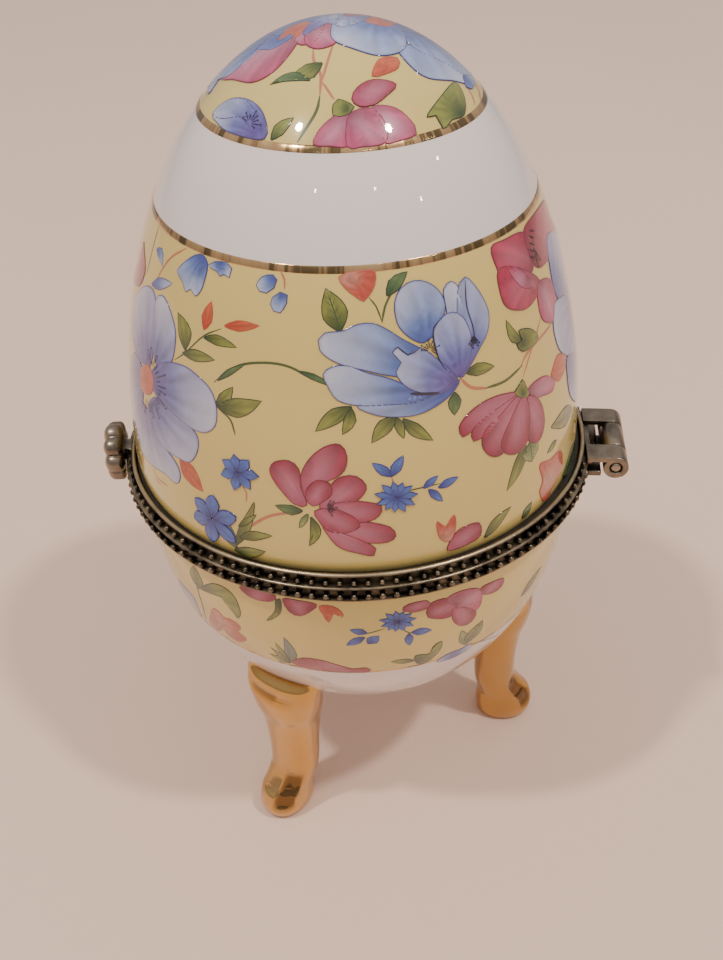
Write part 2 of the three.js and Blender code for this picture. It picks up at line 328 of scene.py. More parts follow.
def porcelain_material(name, edges):
    """White ware with a printed yellow ground between heights, on the outside only."""
    n = Nodes(name)
    spot = n.place()
    z = n.new("ShaderNodeSeparateXYZ", {"Vector": spot}).outputs["Z"]
    inside = n.paint()
    zone = None
    for low, high in edges:
        above = n.math("GREATER_THAN", z, low * MM)
        below = n.math("LESS_THAN", z, high * MM)
        part = n.math("MULTIPLY", above, below)
        zone = part if zone is None else n.math("MAXIMUM", zone, part)
    zone = n.math("MULTIPLY", zone, n.math("GREATER_THAN", inside, 0.5))
    cloud = n.noise(28.0, 5.0, 0.6)
    grain = n.noise(900.0, 3.0, 0.6)
    ground = n.mix(cloud, tuple(c * 0.93 for c in YELLOW), tuple(c * 1.06 for c in YELLOW))
    ground = n.mix(n.math("MULTIPLY", grain, 0.12), ground, (0.76, 0.62, 0.36))
    ware = n.mix(cloud, tuple(c * 0.95 for c in WHITE), tuple(c * 1.04 for c in WHITE))
    specks = n.ramp(n.noise(260.0, 2.0, 0.5), (0.0, (0, 0, 0)), (0.76, (0, 0, 0)), (0.8, (1, 1, 1)))
    ware = n.mix(n.math("MULTIPLY", specks, 0.06), ware, (0.35, 0.3, 0.27))
    n.set(Base_Color=n.mix(zone, ware, ground))
    glaze_finish(n)
    n.set(Subsurface_Weight=0.05, Subsurface_Radius=(0.002, 0.0016, 0.0012), Subsurface_Scale=1.0)
    return n.material


def print_material():
    n = Nodes("flower_print")
    paint = n.paint("Color")
    brush = n.noise(420.0, 6.0, 0.65, distort=0.6)
    wash = n.noise(120.0, 3.0, 0.5)
    dark = n.mix(1.0, paint, (0.68, 0.68, 0.78), "MULTIPLY")
    light = n.mix(0.03, paint, (0.95, 0.92, 0.9))
    colour = n.mix(brush, dark, light)
    n.set(Base_Color=n.mix(n.math("MULTIPLY", wash, 0.015), colour, (0.9, 0.86, 0.82)))
    glaze_finish(n)
    return n.material


def gold_line_material():
    n = Nodes("gold_line")
    parts = n.new("ShaderNodeSeparateXYZ", {"Vector": n.place()})
    turn = n.math("ARCTAN2", n.math("SUBTRACT", parts.outputs["Y"], shell_y * MM), parts.outputs["X"])
    around = n.new("ShaderNodeCombineXYZ", {"X": n.math("MULTIPLY", turn, 3.0), "Z": parts.outputs["Z"]})
    # Painted reflection: the colour turns between dark brown and tan round the line, standing in for what the
    # gold reflects.
    reflection_bands = n.noise(2.3, 3.0, 0.7, at=around.outputs["Vector"])
    wear = n.noise(700.0, 4.0, 0.6)
    stops = [(0.0, (0.06, 0.04, 0.016)), (0.45, (0.11, 0.075, 0.03))]
    reflection_tone = n.ramp(reflection_bands, *stops, (0.5, (0.62, 0.37, 0.17)), (0.62, (0.72, 0.48, 0.24)))
    n.set(Metallic=0.9, Base_Color=n.mix(n.math("MULTIPLY", wear, 0.35), reflection_tone, (0.5, 0.33, 0.14)))
    n.set(Roughness=mapped_range(n, wear, 0.1, 2.6))
    n.set(Coat_Weight=0.5, Coat_Roughness=0.03, Coat_IOR=1.5, Specular_IOR_Level=0.5)
    n.bump(wear, 0.1, 0.0001)
    return n.material


def bronze_material(name, dark, bright, wear_level):
    """Brass gone dark, made bright where the Paint attribute is high: rubbed wear, and painted highlights on
    beads, lip and raised parts.
    """
    n = Nodes(name)
    # Paint: rubbed wear, with painted highlights on the beads, the lip and raised parts.
    rub_and_highlight = n.paint()
    grime = n.noise(260.0, 8.0, 0.62, distort=0.4)
    fine = n.noise(1500.0, 4.0, 0.6)
    amount = n.math("MULTIPLY_ADD", grime, 1.6, wear_level - 0.95)
    amount = n.math("ADD", amount, n.math("MULTIPLY", rub_and_highlight, 0.75), 0.0)
    colour = n.mix(n.new("ShaderNodeClamp", {"Value": amount}).outputs[0], dark, bright)
    deep = tuple(c * 0.6 for c in dark)
    n.set(Metallic=0.95, Base_Color=n.mix(n.math("MULTIPLY", fine, 0.25), colour, deep))
    n.set(Roughness=n.math("MULTIPLY_ADD", grime, 0.28, 0.16))
    n.set(Specular_IOR_Level=0.5, Coat_Weight=0.15, Coat_Roughness=0.12, Coat_IOR=1.5)
    n.bump(grime, 0.22, 0.0002)
    return n.material


def gilding_material():
    n = Nodes("gold_lustre")
    cloud = n.noise(95.0, 5.0, 0.6, distort=0.5)
    worn = n.noise(60.0, 6.0, 0.68)
    fine = n.noise(1100.0, 3.0, 0.6)
    gold = n.mix(cloud, (0.52, 0.275, 0.06), (0.72, 0.44, 0.135))
    patch = n.ramp(worn, (0.0, (0, 0, 0)), (0.50, (0, 0, 0)), (0.80, (1, 1, 1)))
    # Paint holds painted shade: the foot's hollows are made dark brown and glossier.
    painted_shade = n.paint()
    gold = n.mix(n.math("MULTIPLY", patch, 0.45), gold, (0.42, 0.36, 0.29))
    n.set(Metallic=1.0, Base_Color=n.mix(painted_shade, gold, (0.13, 0.06, 0.014)))
    rough = n.math("MULTIPLY_ADD", fine, 0.05, n.math("MULTIPLY_ADD", patch, 0.12, 0.13))
    n.set(Roughness=n.math("MULTIPLY_ADD", painted_shade, -0.08, rough))
    n.set(Specular_IOR_Level=0.5, Coat_Weight=0.4, Coat_Roughness=0.05, Coat_IOR=1.5)
    n.bump(cloud, 0.12, 0.0006)
    return n.material


def cement_material():
    n = Nodes("dark_cement")
    grain = n.noise(800.0, 8.0, 0.7)
    n.set(Base_Color=n.mix(grain, (0.008, 0.006, 0.005), (0.05, 0.04, 0.03)))
    n.set(Roughness=n.math("MULTIPLY_ADD", grain, 0.3, 0.5))
    n.set(Specular_IOR_Level=0.4)
    n.bump(grain, 0.5, 0.0003)
    return n.material


def floor_material():
    n = Nodes("pale_table")
    cloud = n.noise(7.0, 5.0, 0.55)
    grain = n.noise(420.0, 4.0, 0.6)
    base = n.mix(cloud, (0.76, 0.55, 0.44), (0.83, 0.61, 0.485))
    n.set(Base_Color=n.mix(n.math("MULTIPLY", grain, 0.1), base, (0.60, 0.45, 0.38)))
    n.set(Roughness=0.5, Specular_IOR_Level=0.3)
    n.bump(grain, 0.08, 0.0002)
    return n.material


lid_ware = porcelain_material("lid_porcelain_glaze", [(lid_rim - 1, BAND_LINE), (CAP_LINE, crown + 1)])
bowl_ware = porcelain_material("bowl_porcelain_glaze", [(BOWL_LINE, bowl_rim + 1)])
print_glaze = print_material()
gold_line = gold_line_material()
bronze = bronze_material("aged_brass_rings", (0.016, 0.013, 0.010), (0.52, 0.42, 0.28), 0.21)
hinge_bronze = bronze_material("aged_brass_hinge", (0.06, 0.048, 0.036), (0.46, 0.38, 0.29), 0.42)
gilding = gilding_material()
cement = cement_material()


# ---- Porcelain ----------------------------------------------------------------------------------

def quarter(radius, rise, power, steps):
    angles = np.linspace(0, math.pi / 2, steps)
    return np.stack([radius * np.cos(angles) ** (2 / power), rise * np.sin(angles) ** (2 / power)], 1)


def porcelain_shell(name, shape, material):
    rim, rise, power, side = shape
    outer = quarter(shell_radius, rise, power, 130)
    outer = outer[outer[:, 1] > 0.35]
    near = np.maximum(1 - outer[:, 1] / 3.0, 0)
    outer[:, 0] -= 0.45 * near ** 2
    outer[-1, 0] = 0.02
    inner = quarter(shell_radius - wall, rise - wall, power, 90)
    inner = inner[inner[:, 1] > 0.5]
    inner[-1, 0] = 0.02
    edge = shell_radius - 0.45
    lip = arc((edge - 0.45, 0.45), 0.45, -10, -90, 5)
    lip += arc((shell_radius - wall + 0.5, 0.5), 0.5, -90, -180, 5)
    outline = np.concatenate([outer[::-1], np.array(lip), inner])
    outline[:, 1] = rim + side * outline[:, 1]
    verts, faces = turned(outline, ROUND, upright(shell_y))
    faces += ends(len(outline), ROUND)
    colours = np.zeros((len(verts), 3))
    colours[: (len(outer) + 2) * ROUND] = 1.0
    return normals_out(mesh(name, verts, faces, material, colours))


lid = porcelain_shell("lid_porcelain", lid_shape, lid_ware)
bowl = porcelain_shell("bowl_porcelain", bowl_shape, bowl_ware)


def gold_ring(name, shape, z, width, height, material):
    """A thin raised line round the shell."""
    profile = []
    for share in np.linspace(0, 1, 9):
        at = z + (share - 0.5) * width
        point = np.array([[float(radius_at(shape, at)), shell_y, at]])
        n = outward(shape, np.array([[point[0, 0], shell_y, at]]))[0]
        lift = height * math.sin(math.pi * share) ** 0.5 - 0.01
        profile.append((point[0, 0] + n[0] * lift, at + n[2] * lift))
    for radius, at in ((profile[-1][0] - 0.15, profile[-1][1]), (profile[0][0] - 0.15, profile[0][1])):
        profile.append((radius, at))
    return lathe(name, profile, ROUND, shell_y, material)


# ---- Flower print ----------------------------------------------------------------------------------
# Places on a shell are (bearing in degrees from +X, height in millimetres).

INKS = {  # at the base, at the tip, along the edge
    "red": ((0.20, 0.005, 0.02), (0.50, 0.03, 0.08), (0.18, 0.006, 0.02)),
    "rose": ((0.44, 0.03, 0.10), (0.34, 0.008, 0.045), (0.18, 0.004, 0.02)),
    "pink": ((0.24, 0.006, 0.05), (0.56, 0.07, 0.17), (0.26, 0.012, 0.06)),
    "blue": ((0.045, 0.07, 0.36), (0.20, 0.31, 0.62), (0.04, 0.04, 0.20)),
    "periwinkle": ((0.06, 0.05, 0.34), (0.27, 0.31, 0.57), (0.08, 0.06, 0.26)),
    "lilac": ((0.12, 0.07, 0.33), (0.22, 0.28, 0.60), (0.06, 0.05, 0.20)),
    "cornflower": ((0.01, 0.025, 0.26), (0.07, 0.16, 0.52), (0.015, 0.02, 0.20)),
    "coral": ((0.58, 0.06, 0.02), (0.66, 0.12, 0.04), (0.50, 0.08, 0.03)),
    "coral_bud": ((0.70, 0.30, 0.20), (0.58, 0.08, 0.04), (0.54, 0.10, 0.05)),
    "leaf": ((0.025, 0.065, 0.01), (0.27, 0.29, 0.045), (0.01, 0.03, 0.006)),
    "dark_leaf": ((0.03, 0.08, 0.025), (0.11, 0.19, 0.055), (0.012, 0.035, 0.01)),
    "pale_leaf": ((0.10, 0.16, 0.045), (0.33, 0.38, 0.12), (0.025, 0.06, 0.015)),
    "grey_leaf": ((0.07, 0.13, 0.08), (0.24, 0.29, 0.23), (0.03, 0.06, 0.03)),
    "olive": ((0.08, 0.11, 0.03),) * 3,
    "vein": ((0.035, 0.075, 0.025),) * 3,
    "coral_stem": ((0.60, 0.20, 0.10),) * 3,
    "ink": ((0.018, 0.012, 0.03),) * 3,
}
SHEEN = {"red": (0.74, 0.24, 0.33), "rose": (0.76, 0.32, 0.43), "pink": (0.80, 0.42, 0.52)}
PALE_SHEEN = (0.72, 0.73, 0.80)
PALE_TIPPED = ("blue", "periwinkle", "lilac")
# Lifts off the shell: of one patch over the last, of stems, of ink lines; and how far an edge is sunk.
LAYER, STEM_LIFT, INK_LIFT, SUNK = 0.0009, 0.012, 0.15, 0.16

LID_PETALS = [
    ("red", (-64.1, 88.4), [(-75.6, 86.9), (-70.2, 90.5), (-70.3, 92.6), (-67.8, 92.4), (-62.1, 90.7),
        (-65.2, 88.1)]),
    ("blue", (-35.5, 96.3), [(-44.2, 93.6), (-41.7, 94.9), (-38.3, 96), (-35.4, 96.3), (-33.3, 95.6),
        (-33.3, 94.3), (-34.1, 92.8), (-35.7, 92), (-37.7, 92.5), (-39.4, 92), (-41.1, 92.8),
        (-43.1, 93.2)]),
    ("blue", (-29.1, 96.2), [(-32.7, 95.6), (-30.8, 96.1), (-27, 96.3), (-25.3, 95.9), (-25.6, 95),
        (-27.4, 95.2), (-28.4, 94.9), (-29.9, 95.3), (-31.7, 95.4)]),
    ("blue", (-12.8, 95.8), [(-17.3, 94.8), (-15.9, 95.7), (-13.1, 96), (-12, 95.6), (-12.6, 94.8),
        (-14.5, 94.2), (-16.4, 94.3)]),
    ("blue", (-9.9, 94.4), [(-12.7, 93.8), (-10.8, 94.4), (-9, 94.2), (-9.1, 93.4), (-10.6, 92.4),
        (-12.2, 92.5), (-13.1, 93.1)]),
    ("periwinkle", (-52.7, 79.6), [(-54.3, 80.2), (-62.5, 80.2), (-68.5, 82.8), (-66.5, 86.6), (-58, 89.5),
        (-52.4, 89.2), (-50.2, 85.6), (-50.8, 81.4)]),
    ("periwinkle", (-50.6, 80.4), [(-48.9, 81.8), (-50.5, 85.6), (-51.6, 89.1), (-48.1, 90), (-43.7, 88.7),
        (-41.1, 86.7), (-41.6, 83.6), (-44.9, 82.3)]),
    ("periwinkle", (-54, 77.5), [(-55.8, 79.1), (-62.8, 79.7), (-66.8, 76.8), (-68.7, 72.5), (-67.7, 69),
        (-60.9, 68.9), (-55.9, 73.1)]),
    ("periwinkle", (-54.8, 76.6), [(-52.5, 74.4), (-47.6, 71.8), (-41.3, 70.6), (-38.7, 69), (-40.3, 67),
        (-45.8, 67.1), (-54.8, 66.2), (-61.7, 67.4), (-62.5, 70.7), (-57.6, 74.1)]),
    ("periwinkle", (-52.4, 77.3), [(-48.4, 77.2), (-40.7, 77.2), (-35.3, 76.6), (-32.2, 75.6),
        (-32.2, 73.7), (-34.7, 71.6), (-38.8, 71.2), (-44.3, 71.2), (-50, 72.2), (-52.5, 74.4)]),
    ("periwinkle", (-50.4, 79), [(-50.6, 80.1), (-44.9, 82.6), (-38, 83.6), (-32.8, 83.3), (-28.4, 82.2),
        (-26.5, 80.3), (-26.8, 78), (-29.7, 76.6), (-34.1, 76.4), (-39.8, 76.9), (-44.9, 77.4),
        (-49, 78.1)]),
    ("coral", (-53.3, 78.6), [(-57.1, 77.9), (-55.9, 79.5), (-52.8, 80.6), (-49.9, 80.1), (-49.2, 78.7),
        (-50.3, 77.4), (-53.2, 76.5), (-56.1, 76.6)]),
    ("rose", (-5.1, 69.4), [(-12.8, 74.1), (-11.6, 75.1), (-8.4, 75.5), (-6.3, 74.6), (-5.9, 72.1),
        (-4.8, 69.8), (-7.4, 69.8), (-10.1, 71.3), (-12.2, 72.9)]),
    ("rose", (-4, 69.8), [(-5.7, 73.5), (-3.6, 76), (-0.1, 77.6), (3.1, 77.9), (4.5, 76.5), (3.9, 74.7),
        (1.8, 73.7), (-1.6, 72.8), (-4.5, 70.5)]),
    ("rose", (-2.9, 69.2), [(0.9, 72.7), (3.4, 73.8), (6.4, 73.8), (8.4, 72.6), (7.9, 71.5), (5.6, 70.3),
        (2, 69.6), (-1.8, 69.6)]),
    ("rose", (-2.4, 69.6), [(1.5, 70.2), (7, 70.4), (11.5, 69.6), (11, 68.3), (8.5, 67.6), (4.1, 67.6),
        (-0.2, 68.6)]),
    ("rose", (-1.9, 68.1), [(0.7, 66.4), (4.1, 67.1), (8.4, 67.4), (13.3, 66.4), (14.5, 65), (12.7, 64.3),
        (8.8, 64.4), (4.4, 64.9)]),
    ("rose", (-2.5, 67.8), [(-1.4, 67.1), (1.8, 66.2), (6.6, 64.9), (10, 63.4), (9.5, 62.4), (6.2, 62.9),
        (2.2, 63.8), (0.1, 65.3)]),
    ("rose", (-3.5, 69.5), [(-3, 69), (0.9, 69.5), (5.2, 68.4), (6.7, 66.9), (3.1, 66), (-0.4, 66.4),
        (-2.2, 67.8)]),
    ("rose", (-4, 69.8), [(-4.8, 70.8), (-4.4, 72.1), (-2.1, 73.3), (0.5, 72.9), (0.9, 71.5), (-1.2, 70.4),
        (-3.4, 69.8)]),
    ("coral_bud", (6.4, 96.3), [(4.2, 96.1), (6.4, 96.5), (9.6, 96.6), (13.4, 96.5), (12.9, 95.1),
        (11.4, 94.2), (10.1, 93.7), (8, 94.3), (5.7, 95.1)]),
    ("blue", (25.1, 87.7), [(17.7, 91.7), (17.8, 93.2), (19.7, 94.5), (23.2, 95), (26.7, 94.6),
        (29.4, 93.5), (30.4, 92), (29.3, 90.8), (26.8, 89.4), (23.8, 88.6), (20.6, 89.4), (18.4, 90.6)]),
    ("blue", (32, 84.6), [(30.7, 91.7), (30.8, 93.5), (33.2, 94.1), (34.9, 93.3), (35, 91.5), (35.9, 88.1),
        (33.6, 85.6), (30.7, 87.1)]),
    ("lilac", (31.8, 83.9), [(34, 92.1), (35.6, 93.7), (37.5, 94.1), (39.2, 93.3), (41.3, 91.5),
        (42.2, 89.6), (40.8, 87.7), (38.1, 86.4), (34.8, 84.8), (31.9, 83.8), (32, 86.9)]),
    ("blue", (28, 84), [(-1, 89.8), (0.5, 90.5), (4.7, 90.7), (8.3, 91.3), (11.9, 91.3), (15.3, 90.5),
        (18.7, 89.3), (23.3, 87.8), (26, 86.2), (23.9, 85), (19.7, 85.1), (14, 85.8), (9.5, 86.5),
        (4.4, 87.2), (1, 88), (-0.7, 88.8)]),
    ("blue", (30.2, 82.5), [(7.4, 82.5), (10.6, 81.5), (13.9, 81), (19.6, 80.7), (24.3, 81.1), (28.8, 82.1),
        (31.5, 83.5), (26.6, 83.5), (20.6, 83.3), (13.6, 82.9)]),
    ("blue", (27.7, 82.8), [(0, 86.1), (2.1, 86.9), (5.5, 87), (10, 86.1), (15.6, 85.1), (20.6, 83.6),
        (25.3, 82.8), (20.4, 82.2), (13.5, 82.4), (7.4, 82.6), (3, 83.3), (1.1, 84.7)]),
    ("lilac", (31.8, 83.8), [(26.3, 88.7), (26.8, 89.8), (29.3, 90.8), (32.1, 91), (34.6, 90.2), (36, 88.1),
        (35.1, 85.9), (31.9, 83.9), (29.4, 84.7), (27.3, 86.3)]),
    ("lilac", (31, 83.3), [(16.1, 88.1), (17.4, 88.6), (19.6, 87.6), (22.7, 88.1), (26.1, 86.7),
        (29.5, 84.9), (31, 83.3), (26.4, 82.6), (22.3, 83.1), (18.4, 84.3), (16.6, 85.9), (18, 86.9)]),
    ("red", (63.7, 91.7), [(48.1, 95.9), (53.1, 96), (63.3, 95.3), (63.7, 92.1), (58.5, 91), (50.1, 91.8),
        (48.1, 93.9)]),
    ("red", (63.7, 91.7), [(62.5, 95.2), (71, 96), (87.8, 95), (85.2, 93.5), (91, 90), (73.9, 90.6),
        (64, 91.3)]),
    ("red", (62.4, 91.6), [(48.3, 93.4), (52.8, 93.2), (60.4, 91.2), (63.9, 89.3), (59, 88.2), (54, 88.1),
        (48.4, 89.4), (47.3, 91.5)]),
    ("pink", (64.3, 89.6), [(62.8, 89.5), (69.5, 88.6), (69.9, 85.9), (66.4, 84.1), (61.4, 85.3),
        (60.7, 87.5)]),
    ("pink", (59, 91), [(51.9, 93), (54.1, 93), (59, 91), (60.9, 89.5), (55.3, 90.5)]),
    ("blue", (68.3, 85.6), [(75.9, 92.6), (87.9, 90.7), (89.5, 88.4), (81.9, 87), (83.4, 83.8),
        (77.4, 83.8), (71.6, 85.8), (71, 88.9)]),
    ("blue", (87.2, 82.1), [(70.4, 85.7), (81.1, 83.6), (82.5, 79.2), (83.8, 75.2), (74.6, 77.2),
        (67.6, 79.8), (65.7, 83), (67.6, 84.8)]),
    ("blue", (74.6, 77.2), [(72.3, 77.7), (83.1, 74.9), (83.9, 70.5), (78.3, 69.3), (72.1, 72.1),
        (70.6, 75.5)]),
    ("leaf", (51.5, 84.6), [(50.9, 86.1), (55.1, 85.5), (57.8, 84), (55.1, 83.5), (51.1, 83.6),
        (49.5, 84.7), (51.7, 84.9)]),
    ("pink", (51, 78.2), [(51.2, 78.6), (55.2, 79), (59.6, 78.4), (62.6, 76.7), (61.3, 76), (56.6, 76.6),
        (53.4, 77.2)]),
    ("rose", (48.9, 79), [(48, 79), (42.1, 79.9), (37, 79.9), (32.8, 79.1), (30.5, 77.9), (31.2, 76.6),
        (33.7, 77), (37.3, 77.7), (42.5, 78.3)]),
    ("rose", (48.9, 79), [(47.5, 78.8), (40.3, 78.4), (36.6, 77.8), (33.7, 77), (33.9, 75.6), (37, 75.8),
        (41.4, 76.5), (46.3, 77.4)]),
    ("rose", (48.9, 79), [(47.9, 78.7), (40.8, 77.3), (37.1, 76.4), (36.1, 74.6), (38.1, 72.8),
        (41.5, 72.3), (44.3, 73.9), (47.4, 76.2)]),
    ("rose", (50, 78.6), [(50.7, 77.8), (51.2, 76), (49.8, 73.6), (50.7, 71.7), (54.1, 71), (56.5, 72.8),
        (55.8, 75.5), (53.3, 77.3)]),
    ("rose", (49.3, 78.9), [(49.2, 78.4), (44.5, 76.2), (41.4, 73.9), (42.5, 72.2), (46.3, 71.3),
        (49.8, 72.2), (51.1, 74.6), (50.5, 77.1)]),
    ("leaf", (49.3, 78.7), [(46.6, 79.3), (48.3, 79.9), (49.7, 80.3), (50.5, 79.3), (51.3, 78.1),
        (49.1, 78.1)]),
    ("coral_bud", (58, 63.6), [(54.4, 67.2), (59, 66.5), (64.4, 66.1), (65.7, 63), (61.5, 62), (57.4, 60.6),
        (54.6, 62.8), (55.7, 64.4)]),
    ("coral_bud", (26.6, 63.1), [(24.1, 66), (26, 64.8), (28.2, 66.3), (28.4, 64.3), (27.2, 62.6),
        (24.8, 63.4)]),
    ("rose", (27.2, 61.4), [(26.6, 61.2), (27.8, 62.9), (30.3, 63.9), (34.6, 63.7), (35, 61.7),
        (32.3, 61.2), (29.1, 61)]),
    ("pink", (-56.4, 115.6), [(-75, 110.8), (-78.8, 112.5), (-77.4, 114.2), (-76.3, 115.3), (-50.6, 115.5),
        (-35.8, 114.5), (-36.9, 113), (-45.9, 111.9), (-62.7, 111.4)]),
    ("pink", (-55.9, 115.8), [(-79.5, 115.3), (-93.8, 115.9), (-34.2, 116), (-20.7, 115.3), (-32.3, 115),
        (-50.4, 115.2)]),
    ("pink", (-58.6, 115.9), [(-47.5, 115.7), (-27.8, 116.1), (5.3, 115.7), (1.6, 115.2), (-12.4, 114.9),
        (-28.1, 115.1)]),
    ("blue", (110.3, 115.6), [(-79.7, 116), (-133.2, 116.1), (-163.5, 116.2), (-14.5, 116.2),
        (-41.7, 115.9)]),
    ("blue", (111.7, 114.9), [(119.3, 115.7), (125.1, 114.4), (108.1, 113.6), (107.5, 112.1),
        (113.3, 112.9), (89.2, 115)]),
    ("blue", (112.9, 114.9), [(58.1, 114.2), (82.3, 113.5), (93.3, 111.8), (104.9, 109.2), (85.5, 109.3),
        (71, 110.7), (57.4, 111.7), (53, 112.9)]),
    ("blue", (112.9, 114.9), [(86.2, 114.8), (109.5, 113.2), (110.6, 111.5), (101, 110.3), (96.3, 109.1),
        (85.9, 110.2), (80.3, 111.9), (71.7, 113.7)]),
    ("blue", (110.3, 115.6), [(-7.6, 115.9), (31.6, 116.3), (90.9, 116), (105.1, 114.9), (72, 114.3),
        (54.7, 114), (36, 114.2), (18.4, 114.9), (1.2, 115.4)]),
    ("lilac", (116.5, 115.6), [(-28.6, 116.3), (-171.9, 116), (144.9, 116.3), (138.2, 115.5), (96.6, 115.9),
        (43.6, 116), (4.3, 116)]),
    ("coral", (108.8, 115.5), [(94.7, 115.9), (132.6, 115.3), (115.1, 115.3), (116.9, 114.8), (91.2, 115.3),
        (84.2, 115.7)]),
    ("lilac", (-29.2, 108.3), [(-57.2, 108.5), (-52.7, 110), (-41.9, 110.6), (-31.4, 110.2), (-24.9, 109),
        (-24, 108), (-31.3, 107.8), (-42.7, 107.8), (-51.5, 108.1)]),
    ("periwinkle", (-29.7, 108.6), [(-57.2, 108.5), (-53.4, 109.9), (-43.2, 110.5), (-34.8, 110.1),
        (-31.4, 109.6), (-41.7, 109.1), (-49.8, 108.5)]),
    ("coral", (34.7, 112.7), [(35.4, 113.9), (48.6, 113.7), (43.7, 113.1), (33.2, 112.9), (25.6, 112.9)]),
    ("rose", (14.2, 110.9), [(12, 111.4), (15.7, 112.2), (25.3, 112.6), (36.1, 112), (28.3, 111.3),
        (21.1, 110.8), (14.9, 110.8)]),
    ("pink", (10.2, 110.3), [(-4.1, 107.9), (-2, 109.1), (4.6, 110.2), (10.3, 110.1), (9.8, 108.8),
        (8.2, 107.7), (1.4, 107.8)]),
    ("pink", (11.6, 110.4), [(20.6, 110.6), (30.8, 110.2), (35.6, 108.6), (34.9, 107.9), (28.3, 107.7),
        (21.9, 107.7), (22.8, 109.1)]),
    ("pink", (10.2, 110.3), [(9.8, 110.1), (19.8, 110.5), (24.1, 109), (21.9, 107.7), (13, 107.6),
        (8.3, 107.7)]),
    ("leaf", (8.9, 110.7), [(3.2, 110.2), (3.1, 111), (5.4, 111.4), (12.2, 110.8), (10.2, 110.3),
        (5.9, 110.1)]),
    ("leaf", (60.6, 108.1), [(71.7, 110.4), (69.8, 109.2), (61.5, 108), (53.9, 108.1), (47.6, 107.7),
        (47.4, 108.9), (43, 109), (53.3, 109.9)]),
    ("blue", (82.5, 110.1), [(84.8, 110.2), (94.1, 109), (80.7, 109.1), (77.9, 109.5)]),
]
LID_LEAVES = [
    ("blue", (-55.8, 90.2), (-45.5, 92), 1.3, 0),
    ("blue", (-57.3, 94.1), (-52, 93), 1.3, -0.5),
    ("coral", (-31.5, 88.8), (-30.1, 92), 1.5, 0),
    ("coral", (-25.3, 89.9), (-15.8, 90.7), 1.1, 0),
    ("leaf", (-37.1, 85.6), (-41.3, 89.3), 2.2, 0.6),
    ("leaf", (-31.2, 87.9), (-21.6, 87.9), 1.1, -0.2),
    ("leaf", (-37.9, 85.1), (-27.5, 85.8), 1.3, -0.1),
    ("dark_leaf", (-26.3, 83.6), (-19, 86.3), 0.6, -0.1),
    ("dark_leaf", (-5.4, 86.3), (1.9, 84.8), 0.6, -0.1),
    ("leaf", (-26.5, 80.6), (-22.1, 83.3), 1.4, 0.2),
    ("leaf", (-26.1, 80.4), (-14.7, 82.4), 2.2, 0.4),
    ("coral", (-38.4, 71.1), (-31.2, 68), 2.8, 0),
    ("leaf", (-23.2, 61.4), (-17.1, 69), 1.3, 0.3),
    ("grey_leaf", (-22.9, 61.1), (-26.5, 66.1), 2.3, -0.4),
    ("leaf", (-21.6, 63), (-13.3, 64.5), 1.3, -0.2),
    ("leaf", (-23.4, 60.6), (-15.3, 61.8), 1.5, 0.2),
    ("leaf", (-21.6, 64.7), (-16.8, 67.2), 0.7, 0),
    ("dark_leaf", (-5.8, 68.9), (-11.9, 69.2), 1.3, -0.2),
    ("pale_leaf", (-4.6, 68.5), (-6.7, 66.4), 0.7, 0),
    ("leaf", (-3.9, 68.1), (-4.8, 63.8), 1.2, -0.7),
    ("leaf", (4.1, 90.7), (0.8, 95), 2.7, 0.1),
    ("dark_leaf", (16, 94), (21.8, 96), 1.4, -0.2),
    ("leaf", (6, 82.4), (-2.1, 79.5), 1.7, 0.2),
    ("leaf", (6, 82.2), (3.8, 79.2), 1.3, -0.3),
    ("leaf", (15.9, 80.9), (10.2, 78), 1.7, 0.2),
    ("leaf", (15.9, 80.7), (17.3, 78.1), 1, 0),
    ("leaf", (17.4, 80.4), (23.9, 77.2), 1.4, 0.2),
    ("dark_leaf", (30.1, 82.2), (29.5, 79.6), 1.6, 0),
    ("leaf", (33.5, 84.1), (41.4, 83.6), 1.4, -0.1),
    ("leaf", (51.5, 84.5), (47.4, 88), 1.2, -0.5),
    ("coral", (61.4, 78.1), (71.8, 77.6), 3.4, 0),
    ("leaf", (49.1, 72), (42.7, 66.7), 1.9, -0.3),
    ("pale_leaf", (50.7, 71.6), (51.3, 68.7), 3.2, 0),
    ("leaf", (73.7, 69.6), (59.7, 71.2), 2.6, 0),
    ("leaf", (62.1, 68.5), (57.7, 68), 0.9, 0),
    ("dark_leaf", (80.7, 61.5), (67, 61.2), 4.1, 0),
    ("cornflower", (14.1, 73.5), (10.1, 75.4), 1.1, 0),
    ("cornflower", (14.1, 73.5), (16.9, 75.9), 1.2, 0),
    ("cornflower", (21.2, 71.2), (24.6, 72.4), 0.9, 0),
    ("cornflower", (22.4, 70.8), (25.5, 68.8), 0.9, 0),
    ("cornflower", (24.7, 70.8), (29.4, 71.5), 1, 0),
    ("leaf", (36.4, 61), (43.9, 63.8), 1.6, -0.3),
    ("dark_leaf", (48.2, 60.7), (51.4, 62.3), 1.3, 0),
    ("leaf", (-5.8, 114), (-23.2, 112.7), 2.1, -0.3),
    ("dark_leaf", (-10.8, 112.8), (-32.9, 112.1), 1.1, 0.7),
    ("leaf", (-20.9, 108), (-14.1, 109.9), 1.4, -0.2),
]
LID_STARS = [
    ("cornflower", (-20.8, 72.8), 2.5, 7, 0),
    ("cornflower", (-29, 64.5), 3.7, 6, 0.4),
    ("cornflower", (15, 70.6), 2.3, 11, 0),
]
LID_BURSTS = [
    ((-52.2, 78.6), 2.6, 4, 95, -100, 20),
    ((-0.4, 69.7), 0.2, 1, 60, -60, 7),
    ((25, 87.7), 0.2, 0.9, 170, -40, 9),
    ((36.7, 88), 0.2, 1.2, -60, -130, 6),
    ((65, 93.5), 0.2, 2.1, -70, -110, 3),
    ((-33.2, 108.9), 0.4, 1.2, 160, -20, 8),
]
